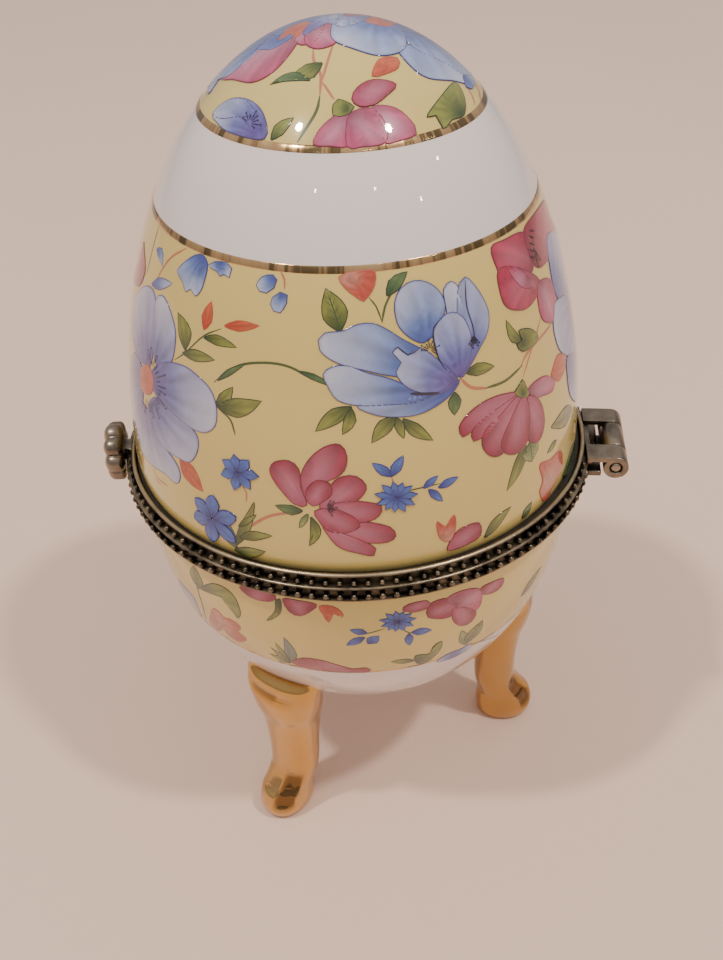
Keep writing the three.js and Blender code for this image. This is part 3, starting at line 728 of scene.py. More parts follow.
LID_STROKES = [
    ("olive", 0.22, [(-59.9, 96.5), (-60.1, 93.2), (-60.4, 90.5)]),
    ("coral_stem", 0.28, [(-42.4, 96.3), (-48.6, 94.4), (-52.5, 91.9), (-53.8, 89.9)]),
    ("coral_stem", 0.24, [(-11.2, 96.5), (-9.9, 95.7), (-9.8, 94.7)]),
    ("olive", 0.2, [(-40.9, 83.7), (-37, 85.3), (-31.3, 88.1), (-26.2, 89.5)]),
    ("olive", 0.3, [(-27.4, 83.2), (-23.6, 85), (-19, 86.3), (-12.7, 86.9), (-7.8, 86.7), (-3.1, 85.7),
        (1.7, 84.9)]),
    ("olive", 0.28, [(-26.1, 80.3), (-22.6, 79.3), (-21.3, 77.5)]),
    ("coral_stem", 0.3, [(-51.5, 66), (-49.5, 65.1), (-44.4, 65.3)]),
    ("coral_stem", 0.3, [(-51, 64.6), (-47.8, 64.4)]),
    ("coral_stem", 0.22, [(-20.4, 71.3), (-18.9, 70.1), (-19.2, 68.6)]),
    ("coral_stem", 0.4, [(-20.8, 63.7), (-18.6, 65.2), (-13.4, 67.5), (-7.2, 68.7)]),
    ("olive", 0.26, [(17.8, 94.6), (15.2, 92.9), (14.2, 91.3)]),
    ("olive", 0.18, [(11.4, 94), (13.1, 93), (14.2, 91.4)]),
    ("coral_stem", 0.42, [(31.8, 83.7), (34.4, 82.2), (38.8, 81.4)]),
    ("olive", 0.36, [(38.1, 81.5), (44.1, 81.3), (50.4, 82)]),
    ("coral_stem", 0.36, [(49.4, 81.9), (53.8, 83.2), (65.8, 84)]),
    ("coral_stem", 0.28, [(50, 80.5), (53.5, 82.6), (60.8, 85.9)]),
    ("ink", 0.2, [(29.3, 90.8), (26.7, 90), (26.3, 88.4), (27, 86.4), (28.5, 85.1)]),
    ("ink", 0.2, [(16.1, 88.1), (17.4, 88.6), (19.6, 87.6), (22.7, 88.1)]),
    ("ink", 0.2, [(37.2, 93.9), (36.2, 91.3), (36.9, 89.1), (37, 87.4)]),
    ("ink", 0.5, [(19.4, 83.3), (22.3, 83), (26.2, 82.7)]),
    ("ink", 0.35, [(66, 95.2), (68.3, 94.7)]),
    ("ink", 0.35, [(64.9, 94.7), (67, 94.1)]),
    ("ink", 0.35, [(63.8, 94.1), (65.9, 93.5)]),
    ("ink", 0.35, [(62.8, 93.5), (64.9, 92.9)]),
    ("ink", 0.35, [(61.9, 92.9), (63.9, 92.3)]),
    ("coral_stem", 0.25, [(10.4, 70), (12.5, 70.4)]),
    ("vein", 0.2, [(17.8, 71.2), (21.2, 71.3), (25, 71.3)]),
    ("coral_stem", 0.2, [(14.1, 73.5), (14.8, 71.7)]),
    ("coral_stem", 0.35, [(-17.7, 114.9), (-11.9, 114.1), (-4.9, 113.2), (-3.7, 111.7)]),
    ("olive", 0.35, [(-3.7, 111.7), (-4.7, 110.4), (-10.4, 108)]),
    ("coral_stem", 0.3, [(1, 115.2), (-2, 114.1), (-3.7, 112.7)]),
    ("coral_stem", 0.3, [(-3.3, 112.7), (3.4, 111.4)]),
    ("coral_stem", 0.35, [(79.6, 109.8), (77.1, 108.8), (73, 108)]),
    ("coral_stem", 0.35, [(90.9, 109.2), (87.7, 108.4), (80.4, 107.9)]),
]
BOWL_PETALS = [
    ("periwinkle", (-55.2, 43.9), [(-51.3, 46), (-49.1, 46.1), (-44, 45.2), (-46.2, 40), (-45.3, 41.1),
        (-49.8, 42.4), (-52.2, 43.8)]),
    ("leaf", (-37.6, 49.9), [(-38.3, 49.5), (-32.7, 52.3), (-28.3, 52.8), (-25.6, 51.6), (-25.1, 48.9),
        (-26.7, 47.4), (-27.8, 50.4), (-32.6, 50.4)]),
    ("coral_bud", (-33, 44), [(-38.4, 43.6), (-34.7, 46.7), (-32.3, 46.1), (-31.4, 44.6), (-38.9, 39.8),
        (-41.3, 40.6)]),
    ("coral_bud", (-33, 44), [(-32.9, 45.1), (-29.2, 46.2), (-26.7, 45.5), (-27.9, 44.1), (-32.1, 43.5)]),
    ("coral_bud", (-33.7, 43.1), [(-33.3, 43.6), (-29.5, 43.9), (-26.1, 42.8), (-30.1, 40.7),
        (-33.8, 41.2)]),
    ("rose", (-17.3, 55.3), [(-23.6, 54.2), (-19.8, 54.9), (-14.1, 54.5), (-15.1, 53.4), (-18.6, 52.9),
        (-21.8, 53.2)]),
    ("rose", (-8.6, 54.8), [(-12.2, 54.2), (-8.7, 54.4), (-4.2, 54.1), (-5.4, 52.9), (-8.4, 51.6),
        (-10.9, 52)]),
    ("coral", (-1.1, 54.3), [(-3.5, 53.8), (-0.4, 53.9), (1.5, 53), (1.8, 51.9), (-0.2, 52.7), (-1.6, 50.9),
        (-2.7, 52.3)]),
    ("leaf", (-13.3, 53.6), [(-12.9, 54.1), (-13.5, 51.4), (-17.4, 49.2), (-14.7, 51.5), (-14.1, 53.7)]),
    ("rose", (-4, 39.5), [(-13.6, 40.3), (-9.7, 42.1), (-5, 42.2), (-0.5, 41.2), (3.2, 40.3), (6.7, 40.5),
        (7.5, 39.3), (-0.8, 39.4), (-7.3, 39.4), (-12.2, 39.6)]),
    ("rose", (23.1, 53.1), [(15.9, 52.6), (17.3, 53.4), (21.6, 53.4), (22.5, 52.1), (18.8, 51.8)]),
    ("rose", (42.5, 52.3), [(36.3, 52.4), (39.6, 52.4), (43.2, 51.9), (42.9, 50.5), (40.1, 50.2),
        (36.3, 51.2)]),
    ("rose", (29.3, 51.1), [(21.7, 51.2), (23.1, 52.8), (26.8, 52.8), (29, 51.2), (28.7, 49.2),
        (25.6, 49.2), (22.2, 50.2)]),
    ("pink", (29.3, 51.1), [(26.8, 52.8), (30.6, 53.3), (35.4, 52.4), (36.7, 50.2), (35.6, 48.3), (31, 50),
        (28.5, 51.3)]),
    ("rose", (29.7, 51), [(28.6, 50.4), (31, 50.1), (35.4, 48), (34.6, 46.1), (31.8, 46.1), (29.1, 47.9)]),
    ("leaf", (20.2, 40.4), [(19.8, 42.1), (23.6, 41.7), (24.5, 43.4), (26.5, 44), (26.5, 41.9),
        (23.4, 39.5), (20.5, 39.9)]),
    ("blue", (31.3, 39.2), [(26.6, 38.6), (29.2, 39.9), (33.8, 39.9), (36.8, 40.1), (36.5, 38.7),
        (32, 38)]),
]
BOWL_LEAVES = [
    ("leaf", (-39.2, 49.1), (-38.4, 53.8), 2.6, 0),
    ("grey_leaf", (-14, 39.9), (-13.7, 46.4), 1.6, 0.5),
    ("leaf", (-14.3, 39.8), (-19.6, 41), 1.3, 0),
    ("leaf", (-14.3, 40), (-18.4, 42.9), 1, 0),
    ("leaf", (-14, 40.2), (-16.6, 44.5), 0.8, 0),
    ("cornflower", (7.3, 48.7), (3.3, 49.5), 1.2, 0),
    ("cornflower", (6.6, 47.9), (2.2, 46.2), 1.3, 0),
    ("cornflower", (7.4, 46.5), (10.1, 48), 1.7, 0),
    ("cornflower", (17.5, 47.6), (17.8, 45), 1.1, 0),
    ("cornflower", (18.2, 47.8), (23.3, 47.3), 1.4, 0),
    ("leaf", (19.7, 40.8), (13.3, 41.6), 1.2, 0),
    ("pale_leaf", (34.1, 41), (32.1, 44.9), 1.3, 0),
    ("leaf", (34.6, 40.8), (38.4, 45.1), 2.6, 0),
    ("leaf", (53.1, 44.5), (61.2, 47.1), 2.4, 0),
]
BOWL_STARS = [
    ("cornflower", (14.7, 50.5), 2.2, 11, 0),
]
BOWL_STROKES = [
    ("olive", 0.3, [(-39.7, 51.1), (-39.8, 48.2), (-40.5, 44.7), (-43.9, 39.6)]),
    ("vein", 0.2, [(11.7, 49.4), (7.5, 48.7), (4.7, 48.7)]),
    ("vein", 0.2, [(16, 48.7), (17.9, 47.7), (21.2, 47.5)]),
    ("olive", 0.22, [(34.3, 40.6), (41.5, 38.8), (51, 36.4)]),
]


class Print:
    """Thin coloured patches that follow one shell."""

    def __init__(self, shape, turn):
        self.shape = shape
        self.turn = turn
        self.verts, self.faces, self.colours = [], [], []
        self.count = 0

    def at(self, place):
        return surface_point(self.shape, place[0] + self.turn, place[1])

    def frame_at(self, middle):
        n = outward(self.shape, middle[None])[0]
        across = np.cross((0.0, 0.0, 1.0), n)
        across /= np.linalg.norm(across)
        return across, np.cross(n, across), n

    def flat_frame(self, middle):
        axes = self.frame_at(middle)
        return middle, axes, np.stack(axes[:2], 1)

    def add(self, points, faces, colours, direction, lift):
        first = len(self.verts)
        self.verts.extend(laid_on(self.shape, points, direction, lift))
        self.faces.extend(tuple(first + i for i in face) for face in faces)
        self.colours.extend(colours)

    def patch(self, flat, base, middle, axes, ink, lift):
        """Fills a closed outline, given in the plane of two axes, in rings about its middle."""
        deep, pale, edge = (np.array(c) for c in INKS[ink])
        flat = closed_curve(flat)
        heart = flat.mean(0)
        spokes = flat - heart
        reach = np.hypot(*spokes.T).max()
        rings = list(np.linspace(0, 1, max(3, int(reach / 0.75) + 2))[1:-1]) + [0.93, 1.0]
        steps = len(flat)
        away = np.hypot(*(flat - base).T).max()
        spine = heart - base + 1e-6
        cross = np.array([-spine[1], spine[0]]) / np.hypot(*spine)
        points, colours = [heart], []
        for share in rings:
            points.extend(heart + spokes * share)
        tangent = np.roll(flat, -1, 0) - np.roll(flat, 1, 0)
        side = np.stack([tangent[:, 1], -tangent[:, 0]], 1)
        side /= np.maximum(np.hypot(*side.T), 1e-9)[:, None]
        if ((flat - heart) * side).sum() < 0:
            side = -side
        line = min(0.1, reach * 0.07)
        points = np.array(points)
        ends = np.concatenate([flat, flat + side * line, flat + side * (line + 0.02)])
        whole = np.concatenate([points, ends])
        for i, point in enumerate(whole):
            share = min(1.0, np.hypot(*(point - base)) / away)
            blend = min(1.0, share / 0.62) ** 1.3
            colour = deep * (1 - blend) + pale * blend
            way = math.atan2(*(point - base))
            ripple = 0.5 + 0.3 * math.sin(17.0 * way + 2.5 * reach) + 0.2 * math.sin(29.0 * way + 5 * share)
            colour = colour * (0.66 + 0.5 * ripple)
            if ink in PALE_TIPPED:
                blotch = 0.5 + 0.5 * math.sin(4.3 * way + 3 * reach)
                tip = max(0.0, share - 0.42) / 0.58 * (0.4 + 0.6 * blotch)
                colour = colour * (1 - 0.85 * tip) + np.array(PALE_SHEEN) * 0.85 * tip
            elif ink in SHEEN:
                across = abs((point - base) @ cross) / (0.38 * reach)
                glow = 0.42 * math.exp(-across * across) * 4 * share * (1 - share)
                colour = colour * (1 - glow) + np.array(SHEEN[ink]) * glow
            if i >= len(points):
                colour = edge
            elif i >= len(points) - steps:
                colour = 0.72 * colour + 0.28 * edge
            colours.append(colour)
        faces = [(0, 1 + k, 1 + (k + 1) % steps) for k in range(steps)]
        rows = len(rings) + 3
        for row in range(rows - 1):
            if row == len(rings) - 1:
                continue
            a, b = 1 + row * steps, 1 + (row + 1) * steps
            faces.extend((a + k, b + k, b + (k + 1) % steps, a + (k + 1) % steps) for k in range(steps))
        placed = middle + whole[:, :1] * axes[0] + whole[:, 1:] * axes[1]
        self.count += 1
        self.add(placed, faces, colours, axes[2], lift + self.count * LAYER)
        self.sink_edge(steps)

    def sink_edge(self, steps):
        """Sinks the outermost ring into the shell, so that a patch has an edge."""
        for i in range(len(self.verts) - steps, len(self.verts)):
            n = outward(self.shape, self.verts[i][None])[0]
            self.verts[i] = self.verts[i] - n * SUNK

    def petal(self, ink, base, outline, lift=0.02):
        points = np.array([self.at(p) for p in outline])
        middle, axes, turn = self.flat_frame(points.mean(0))
        self.patch((points - middle) @ turn, (self.at(base) - middle) @ turn, middle, axes, ink, lift)

    def leaf(self, ink, start, tip, width, bend, lift=0.015):
        a, b = self.at(start), self.at(tip)
        middle, axes, turn = self.flat_frame((a + b) / 2)
        p, q = (a - middle) @ turn, (b - middle) @ turn
        along = q - p
        side = np.array([along[1], -along[0]]) / np.hypot(*along)
        spine = lambda t: p + along * t + side * bend * 4 * t * (1 - t)
        widths = ((0.0, 0.05), (0.15, 0.55), (0.38, 1.0), (0.65, 0.8), (0.86, 0.36))
        right = [spine(t) + side * width / 2 * k for t, k in widths]
        left = [spine(t) - side * width / 2 * k for t, k in reversed(widths)]
        self.patch(np.array(right + [q] + left), p, middle, axes, ink, lift)
        if width > 2.2 and "leaf" in ink:
            laid = middle, axes, lift + self.count * LAYER + 0.004
            self.stroke_flat("vein", 0.13, np.array([spine(t) for t in (0.04, 0.3, 0.6, 0.92)]), *laid)
            for t in (0.25, 0.42, 0.58, 0.72):
                for hand in (-1, 1):
                    end = spine(t + 0.16) + side * hand * width * 0.34 * (1.15 - t)
                    self.stroke_flat("vein", 0.07, np.array([spine(t), end]), *laid)

    def stroke_flat(self, ink, width, flat, middle, axes, lift):
        flat = open_curve(flat)
        tangent = np.gradient(flat, axis=0)
        side = np.stack([-tangent[:, 1], tangent[:, 0]], 1) / np.hypot(*tangent.T)[:, None]
        share = np.linspace(0, 1, len(flat))
        half = (width / 2 * np.minimum(1, 0.35 + 3.2 * np.minimum(share, 1 - share)))[:, None]
        rows = np.stack([flat - side * half, flat + side * half], 1).reshape(-1, 2)
        faces = [(2 * k, 2 * k + 1, 2 * k + 3, 2 * k + 2) for k in range(len(flat) - 1)]
        placed = middle + rows[:, :1] * axes[0] + rows[:, 1:] * axes[1]
        self.add(placed, faces, [np.array(INKS[ink][0])] * len(rows), axes[2], lift)

    def stroke(self, ink, width, places):
        points = np.array([self.at(p) for p in places])
        middle, axes, turn = self.flat_frame(points.mean(0))
        if ink == "ink":
            width *= 0.6
        lift = INK_LIFT if ink == "ink" else STEM_LIFT
        self.stroke_flat(ink, width, (points - middle) @ turn, middle, axes, lift)

    def star(self, ink, centre, radius, count, turn):
        middle, axes, _ = self.flat_frame(self.at(centre))
        for k in range(count):
            a = 2 * math.pi * k / count + turn
            long = radius * (1 + 0.12 * math.sin(5.1 * k + 1))
            tip = np.array([math.cos(a), math.sin(a)]) * long
            side = np.array([-math.sin(a), math.cos(a)]) * radius * min(0.27, 1.75 / count)
            outline = [tip * 0.05, tip * 0.4 + side * 0.8, tip * 0.68 + side, tip]
            outline += [tip * 0.68 - side, tip * 0.4 - side * 0.8]
            self.patch(np.array(outline), np.zeros(2), middle, axes, ink, 0.04)
        for k in range(5):
            a = 2 * math.pi * k / 5
            end = np.array([math.cos(a), math.sin(a)]) * radius * 0.3
            self.stroke_flat("ink", 0.12, np.array([end * 0.2, end]), middle, axes, INK_LIFT + 0.005)

    def burst(self, centre, near, far, start, end, count):
        middle, axes, _ = self.flat_frame(self.at(centre))
        for k in range(count):
            a = math.radians(start + (end - start) * k / (count - 1))
            way = np.array([math.cos(a), math.sin(a)])
            reach = far * (1 + 0.25 * math.sin(k * 2.4))
            self.stroke_flat("ink", 0.14, np.array([way * near, way * reach]), middle, axes, INK_LIFT + 0.005)
            knob = np.array([way * reach * 0.97, way * (reach + 0.16)])
            self.stroke_flat("ink", 0.26, knob, middle, axes, INK_LIFT + 0.007)

    def everything(self, strokes, leaves, petals, stars, bursts):
        """Stems first and ink lines last, so that each lies over what it crosses."""
        stems = [row for row in strokes if row[0] != "ink"]
        lines = [row for row in strokes if row[0] == "ink"]
        steps = ((self.stroke, stems), (self.leaf, leaves), (self.petal, petals), (self.star, stars))
        for draw, rows in (*steps, (self.burst, bursts), (self.stroke, lines)):
            for row in rows:
                draw(*row)


def closed_curve(points, pitch=0.55):
    """A smooth closed curve through points."""
    count = len(points)
    out = []
    for i in range(count):
        a, b, c, d = (points[(i + k) % count] for k in (-1, 0, 1, 2))
        steps = max(1, int(np.hypot(*(c - b)) / pitch))
        for t in np.arange(steps) / steps:
            out.append(catmull(a, b, c, d, t))
    return np.array(out)


def open_curve(points, pitch=0.6):
    points = [2 * points[0] - points[1], *points, 2 * points[-1] - points[-2]]
    out = []
    for i in range(1, len(points) - 2):
        a, b, c, d = points[i - 1:i + 3]
        steps = max(2, int(np.hypot(*(c - b)) / pitch))
        for t in np.arange(steps) / steps:
            out.append(catmull(a, b, c, d, t))
    return np.array(out + [points[-2]])


def catmull(a, b, c, d, t):
    square, cube = 2 * a - 5 * b + 4 * c - d, 3 * b - a - 3 * c + d
    return 0.5 * (2 * b + (c - a) * t + square * t * t + cube * t ** 3)


def printed(name, shape, tables):
    """The print of one shell: the pattern comes twice round it, back first."""
    verts, faces, colours = [], [], []
    for turn in (180.0, 0.0):
        part = Print(shape, turn)
        part.everything(*tables)
        first = len(verts)
        verts.extend(part.verts)
        faces.extend(tuple(first + i for i in face) for face in part.faces)
        colours.extend(part.colours)
    return mesh(name, verts, faces, print_glaze, np.array(colours))


lid_tables = (LID_STROKES, LID_LEAVES, LID_PETALS, LID_STARS, LID_BURSTS)
lid_print = printed("lid_flower_print", lid_shape, lid_tables)
bowl_tables = (BOWL_STROKES, BOWL_LEAVES, BOWL_PETALS, BOWL_STARS, ())
bowl_print = printed("bowl_flower_print", bowl_shape, bowl_tables)
lid_lines = join("lid_gold_lines", [
    gold_ring("cap_line", lid_shape, CAP_LINE, 0.75, 0.05, gold_line),
    gold_ring("band_line", lid_shape, BAND_LINE, 0.85, 0.05, gold_line),
])
bowl_line = gold_ring("bowl_gold_line", bowl_shape, BOWL_LINE, 0.45, 0.04, gold_line)


# ---- Bezels ---------------------------------------------------------------------------------------

def bead_ring(name, radius, z, bead, count, gaps, material):
    """A row of round beads, left out at the bearings in gaps."""
    verts, faces, rub_and_highlight = [], [], []
    around, up = 14, 9
    for k in range(count):
        bearing = 360.0 * k / count - 90
        if any(abs((bearing - g + 180) % 360 - 180) < half for g, half in gaps):
            continue
        a = math.radians(bearing)
        size = bead * (1 + 0.03 * math.sin(k * 7.3))
        centre = np.array([radius * math.cos(a), ring_y + radius * math.sin(a), z])
        first = len(verts)
        verts.append(centre + (0, 0, size))
        rub_and_highlight.append(0.0)
        for i in range(1, up):
            lat = math.pi * i / up
            for j in range(around):
                lon = 2 * math.pi * j / around
                flat = math.sin(lat)
                way = np.array([flat * math.cos(lon), flat * math.sin(lon), math.cos(lat)])
                verts.append(centre + way * size)
                # Painted highlight: each bead's upper outer face is written bright, on top of its rubbed
                # wear.
                facing = way @ np.array([math.cos(a), math.sin(a), 0.35]) / 1.06
                rub_and_highlight.append(max(0.0, facing) ** 6 * 0.7)
        verts.append(centre - (0, 0, size))
        rub_and_highlight.append(0.0)
        top, bottom = first, len(verts) - 1
        for j in range(around):
            m = (j + 1) % around
            faces.append((top, first + 1 + j, first + 1 + m))
            last = first + 1 + (up - 2) * around
            faces.append((bottom, last + m, last + j))
            for i in range(up - 2):
                p, q = first + 1 + i * around, first + 1 + (i + 1) * around
                faces.append((p + j, q + j, q + m, p + m))
    return mesh(name, verts, faces, material, grey(rub_and_highlight))


def rubbed_and_highlit(ring, rule):
    """As painted, by a rule of the distance from the bezels' axis and the height."""
    return painted(ring, lambda x, y, z: rule(math.hypot(x, y - ring_y), z))


seat = 31.85
lip_mid, lip_z = 32.2, ring_high[2] - 0.3
neck, bowl_neck = 32.35, 32.65
base_z = ring_low[2]
top_z = base_high[2]
leaf_half = math.degrees(math.atan2((leaf_high[0] - leaf_low[0]) / 2 + 0.6, 32.6))
plaque_middle = (plaque_low + plaque_high) / 2
clasp_bearing = math.degrees(math.atan2(plaque_middle[1] - ring_y, plaque_middle[0]))

lid_outline = [
    (28.4, base_z), (33.2, base_z), (33.33, base_z + 0.06), (33.3, base_z + 0.18), (33.1, base_z + 0.24),
    (neck, base_z + 0.27), (neck, lip_z - 0.32), (neck + 0.05, lip_z - 0.24), (32.47, lip_z - 0.12),
    *arc((lip_mid, lip_z), 0.3, 0, 180, 13),
    (31.88, lip_z - 0.4), (seat, base_z + 0.5), (31.7, base_z + 0.4), (28.4, base_z + 0.4),
]
lid_ring = lathe("lid_ring", lid_outline, RING_ROUND, ring_y, bronze)
# The lip's top is written brightest, a painted highlight over rubbed wear; the flange's outer edge and the
# lip's sides are rubbed.
near_lip = lambda z: 0.25 if z > lip_z - 0.4 else 0.0
rubbed_and_highlit(lid_ring, lambda r, z: 1.2 if z > lip_z + 0.1 else 0.45 if r > 33 else near_lip(z))

bowl_outline = [
    (28.4, top_z - 0.4), (28.4, top_z), (33.0, top_z), (33.16, top_z - 0.07), (33.1, top_z - 0.2),
    (32.9, top_z - 0.25), (bowl_neck, top_z - 0.28), (bowl_neck, 56.82), (33.0, 56.76), (33.18, 56.7),
    (33.2, 56.58), (33.1, base_low[2]), (32.25, base_low[2]), (32.15, 56.6), (32.15, top_z - 0.4),
]
bowl_ring = lathe("bowl_ring", bowl_outline, RING_ROUND, ring_y, bronze)
rubbed_and_highlit(bowl_ring, lambda r, z: 0.55 if r > 32.95 else 0.0)

gaps = [(90, leaf_half), (clasp_bearing, 3.2)]
upper_beads = bead_ring("upper_beads", neck + 0.36, base_z + 0.64, 0.36, 118, gaps, bronze)
gaps = [(90, leaf_half), (clasp_bearing, 2.0)]
lower_beads = bead_ring("lower_beads", bowl_neck + 0.46, 57.28, 0.44, 118, gaps, bronze)
upper_ring = sharp(join("lid_bezel_beaded", [lid_ring, upper_beads]), 60)
lower_ring = sharp(join("bowl_bezel_beaded", [bowl_ring, lower_beads]), 60)


# ---- Cement -----------------------------------------------------------------------------------------

def cement_ring(name, outer, hole, bottom, top):
    """A rough ring with its hole round the shell and its outside round the bezel."""
    verts, faces = [], []
    corner = 10
    for k in range(RING_ROUND):
        a = 2 * math.pi * k / RING_ROUND
        way = np.array([math.cos(a), math.sin(a)])
        for j in range(corner):
            t = 2 * math.pi * j / corner
            across = 0.5 + 0.5 * np.sign(math.cos(t)) * abs(math.cos(t)) ** 0.5
            rise = 0.5 + 0.5 * np.sign(math.sin(t)) * abs(math.sin(t)) ** 0.5
            inner = np.array([0, shell_y]) + way * hole
            outside = np.array([0, ring_y]) + way * outer
            x, y = inner * (1 - across) + outside * across
            rough = 0.05 * math.sin(23 * a + 2 * j) + 0.04 * math.sin(61 * a + j)
            verts.append((x, y, bottom + (top - bottom) * rise + rough * rise))
    for k in range(RING_ROUND):
        m = (k + 1) % RING_ROUND
        for j in range(corner):
            n = (j + 1) % corner
            faces.append((k * corner + j, m * corner + j, m * corner + n, k * corner + n))
    return normals_out(mesh(name, verts, faces, cement))


lid_bed_low, lid_bed_high = box_mm("upper_cement")
bowl_bed_low, bowl_bed_high = box_mm("lower_cement")
lid_cement = cement_ring("lid_cement_bed", 31.82, 30.85, lid_bed_low[2] - 0.1, lid_bed_high[2])
bowl_cement = cement_ring("bowl_cement_bed", 32.1, 31.05, bowl_bed_low[2], bowl_bed_high[2])


# ---- Hinge ------------------------------------------------------------------------------------------

knuckle = (leaf_high[2] - leaf_low[2]) / 2
half_width = leaf_high[0]
middle_half = 2.75


def about_hinge(radius, x, a):
    return x, hinge_y + radius * math.cos(a), hinge_z + radius * math.sin(a)


def tube(name, outer, bore, low, high, material):
    """A rolled knuckle about the hinge axis."""
    e = 0.14
    outline = [(outer - e, low), (outer - 0.04, low + 0.05), (outer, low + e)]
    outline += [(outer, high - e), (outer - 0.04, high - 0.05), (outer - e, high)]
    outline += [(bore + e, high), (bore, high - e), (bore, low + e), (bore + e, low)]
    return sharp(normals_out(mesh(name, *turned(outline, 56, about_hinge, True), material)), 40)


def rolled_arm(name, x0, x1, top, under, near):
    """A leaf's arm in side view: the plate runs out to the knuckle and rolls down round it."""
    outline = [(near, top), (hinge_y, top)]
    outline += arc((hinge_y, hinge_z), knuckle, 80, -60, 16)
    outline += arc((hinge_y, hinge_z), knuckle * 0.62, -60, 70, 10)
    outline += [(hinge_y - 0.6, under), (near, under)]
    return prism(name, outline, "x", x0, x1, hinge_bronze, 0.12)


def oblong(half, near_y, far_y):
    return [(-half, near_y), (half, near_y), (half, far_y), (-half, far_y)]


plate_top = leaf_high[2]
plate_under = plate_top - 0.8
near = ring_y + lip_mid + 0.32
arms = []
for x0, x1 in ((-half_width, -middle_half - 0.15), (middle_half + 0.15, half_width)):
    arms.append(rolled_arm("arm", x0, x1, plate_top, plate_under, near))
    arms.append(tube("knuckle", knuckle - 0.03, 0.85, x0 + 0.02, x1 - 0.02, hinge_bronze))
bridge = oblong(half_width - 0.1, near - 0.02, near + 0.75)
arms.append(prism("bridge", bridge, "z", base_z + 0.15, plate_under + 0.35, hinge_bronze, 0.1))
on_edge = lambda x, z: z > plate_top - 0.1 or abs(x) > half_width - 0.1
upper_leaf = painted(join("upper_hinge_leaf", arms), lambda x, y, z: 0.35 if on_edge(x, z) else 0.0)

foot_z = leaf_low[2] + 0.35
strip = oblong(half_width - 0.05, near + 0.3, hinge_y - knuckle - 0.2)
tongue = [(hinge_y - knuckle - 0.6, foot_z + 0.8), (hinge_y - 0.8, foot_z + 0.8), (hinge_y, foot_z + 0.3)]
tongue += [(hinge_y, foot_z - 0.3), (hinge_y - 0.7, foot_z), (hinge_y - knuckle - 0.6, foot_z)]
parts = [
    prism("strip", strip, "z", foot_z, foot_z + 0.8, hinge_bronze, 0.12),
    prism("tongue", tongue, "x", -middle_half + 0.05, middle_half - 0.05, hinge_bronze, 0.08),
    tube("middle", knuckle, 0.85, -middle_half, middle_half, hinge_bronze),
]
on_top = lambda z: z > hinge_z + knuckle - 0.2
lower_leaf = painted(join("lower_hinge_leaf", parts), lambda x, y, z: 0.3 if on_top(z) else 0.0)

pin_radius = (pin_high[1] - pin_low[1]) / 2
pin_ends = [(0.01, 0.0), (pin_radius * 0.6, 0.02), (pin_radius * 0.92, 0.14), (pin_radius, 0.3)]
pin_outline = [(r, pin_low[0] + inset) for r, inset in pin_ends]
pin_outline += [(r, pin_high[0] - inset) for r, inset in reversed(pin_ends)]
verts, faces = turned(pin_outline, 32, about_hinge)
pin = mesh("hinge_pin_domed", verts, faces + ends(len(pin_outline), 32), hinge_bronze)
painted(normals_out(pin), lambda x, y, z: 0.8 if abs(x) > 5.9 else 0.2)


# ---- Clasp ------------------------------------------------------------------------------------------

clasp_way = np.array([math.cos(math.radians(clasp_bearing)), math.sin(math.radians(clasp_bearing)), 0])
clasp_side = np.array([-clasp_way[1], clasp_way[0], 0])
back_reach = lip_mid + 0.3 + 2.6
plaque_back = np.array([0, ring_y, plaque_middle[2]]) + clasp_way * back_reach


def rosette(name, radius, thickness, petals, material):
    """A thick cast flower with domed petals round a boss, nearly flat behind."""
    around, rows = 192, 26
    verts, faces, rub_and_highlight = [], [], []
    for front in (True, False):
        for i in range(rows):
            share = (i / (rows - 1)) ** 0.8
            for k in range(around):
                t = 2 * math.pi * k / around
                petal = abs(math.cos(petals * t / 2))
                r = share * (radius - 0.75 * (1 - petal ** 0.6))
                if front:
                    swell = math.sin(math.pi * min(1, max(0, (share - 0.22) / 0.8)))
                    dome = 0.62 * petal ** 0.55 * swell ** 0.7
                    ridge = 0.1 * max(0, math.cos(petals * t)) * math.sin(math.pi * share)
                    boss = 0.72 * math.sqrt(max(0, 1 - (r / 1.15) ** 2))
                    rim = 0.12 + 0.74 * max(0, 1 - share ** 7) ** 0.5
                    high = rim + max(dome + ridge, boss) * 0.55
                else:
                    high = -0.95 - 0.6 * math.sqrt(max(0, 1 - share ** 6))
                spot = plaque_back + clasp_side * r * math.cos(t) + np.array([0, 0, r * math.sin(t)])
                verts.append(spot + clasp_way * min(high, thickness))
                # Raised parts are written brighter with height: rubbed wear and a painted highlight on the
                # lobes.
                rub_and_highlight.append(min(1.0, 0.15 + high * 0.65) if front else 0.1)
    for block in (0, rows * around):
        for i in range(rows - 1):
            for k in range(around):
                m = (k + 1) % around
                a, b = block + i * around, block + (i + 1) * around
                faces.append((a + k, a + m, b + m, b + k))
    a, b = (rows - 1) * around, (2 * rows - 1) * around
    faces += [(a + k, a + (k + 1) % around, b + (k + 1) % around, b + k) for k in range(around)]
    return normals_out(mesh(name, verts, faces, material, grey(rub_and_highlight)))


plaque = rosette("clasp_rosette", 4.25, 1.28, 8, hinge_bronze)


def across_clasp(obj):
    """Turns a piece drawn towards -Y about the bezels' axis to the clasp's bearing."""
    turn = Matrix.Rotation(math.radians(clasp_bearing + 90), 4, "Z")
    shift = Matrix.Translation((0, ring_y * MM, 0))
    obj.data.transform(shift @ turn @ shift.inverted())
    return obj


bar_z = (bar_low[2], bar_high[2])
bar = [(-1.5, ring_y - lip_mid - 0.28), (-1.1, ring_y - lip_mid - 1.6), (-1.5, ring_y - back_reach - 0.05)]
bar += [(1.5, ring_y - back_reach - 0.05), (1.1, ring_y - lip_mid - 1.6), (1.5, ring_y - lip_mid - 0.28)]
bracket = across_clasp(prism("clasp_bracket_bar", bar, "z", *bar_z, hinge_bronze, 0.16))
painted(bracket, lambda x, y, z: 0.4 if z > bar_z[1] - 0.1 else 0.1)

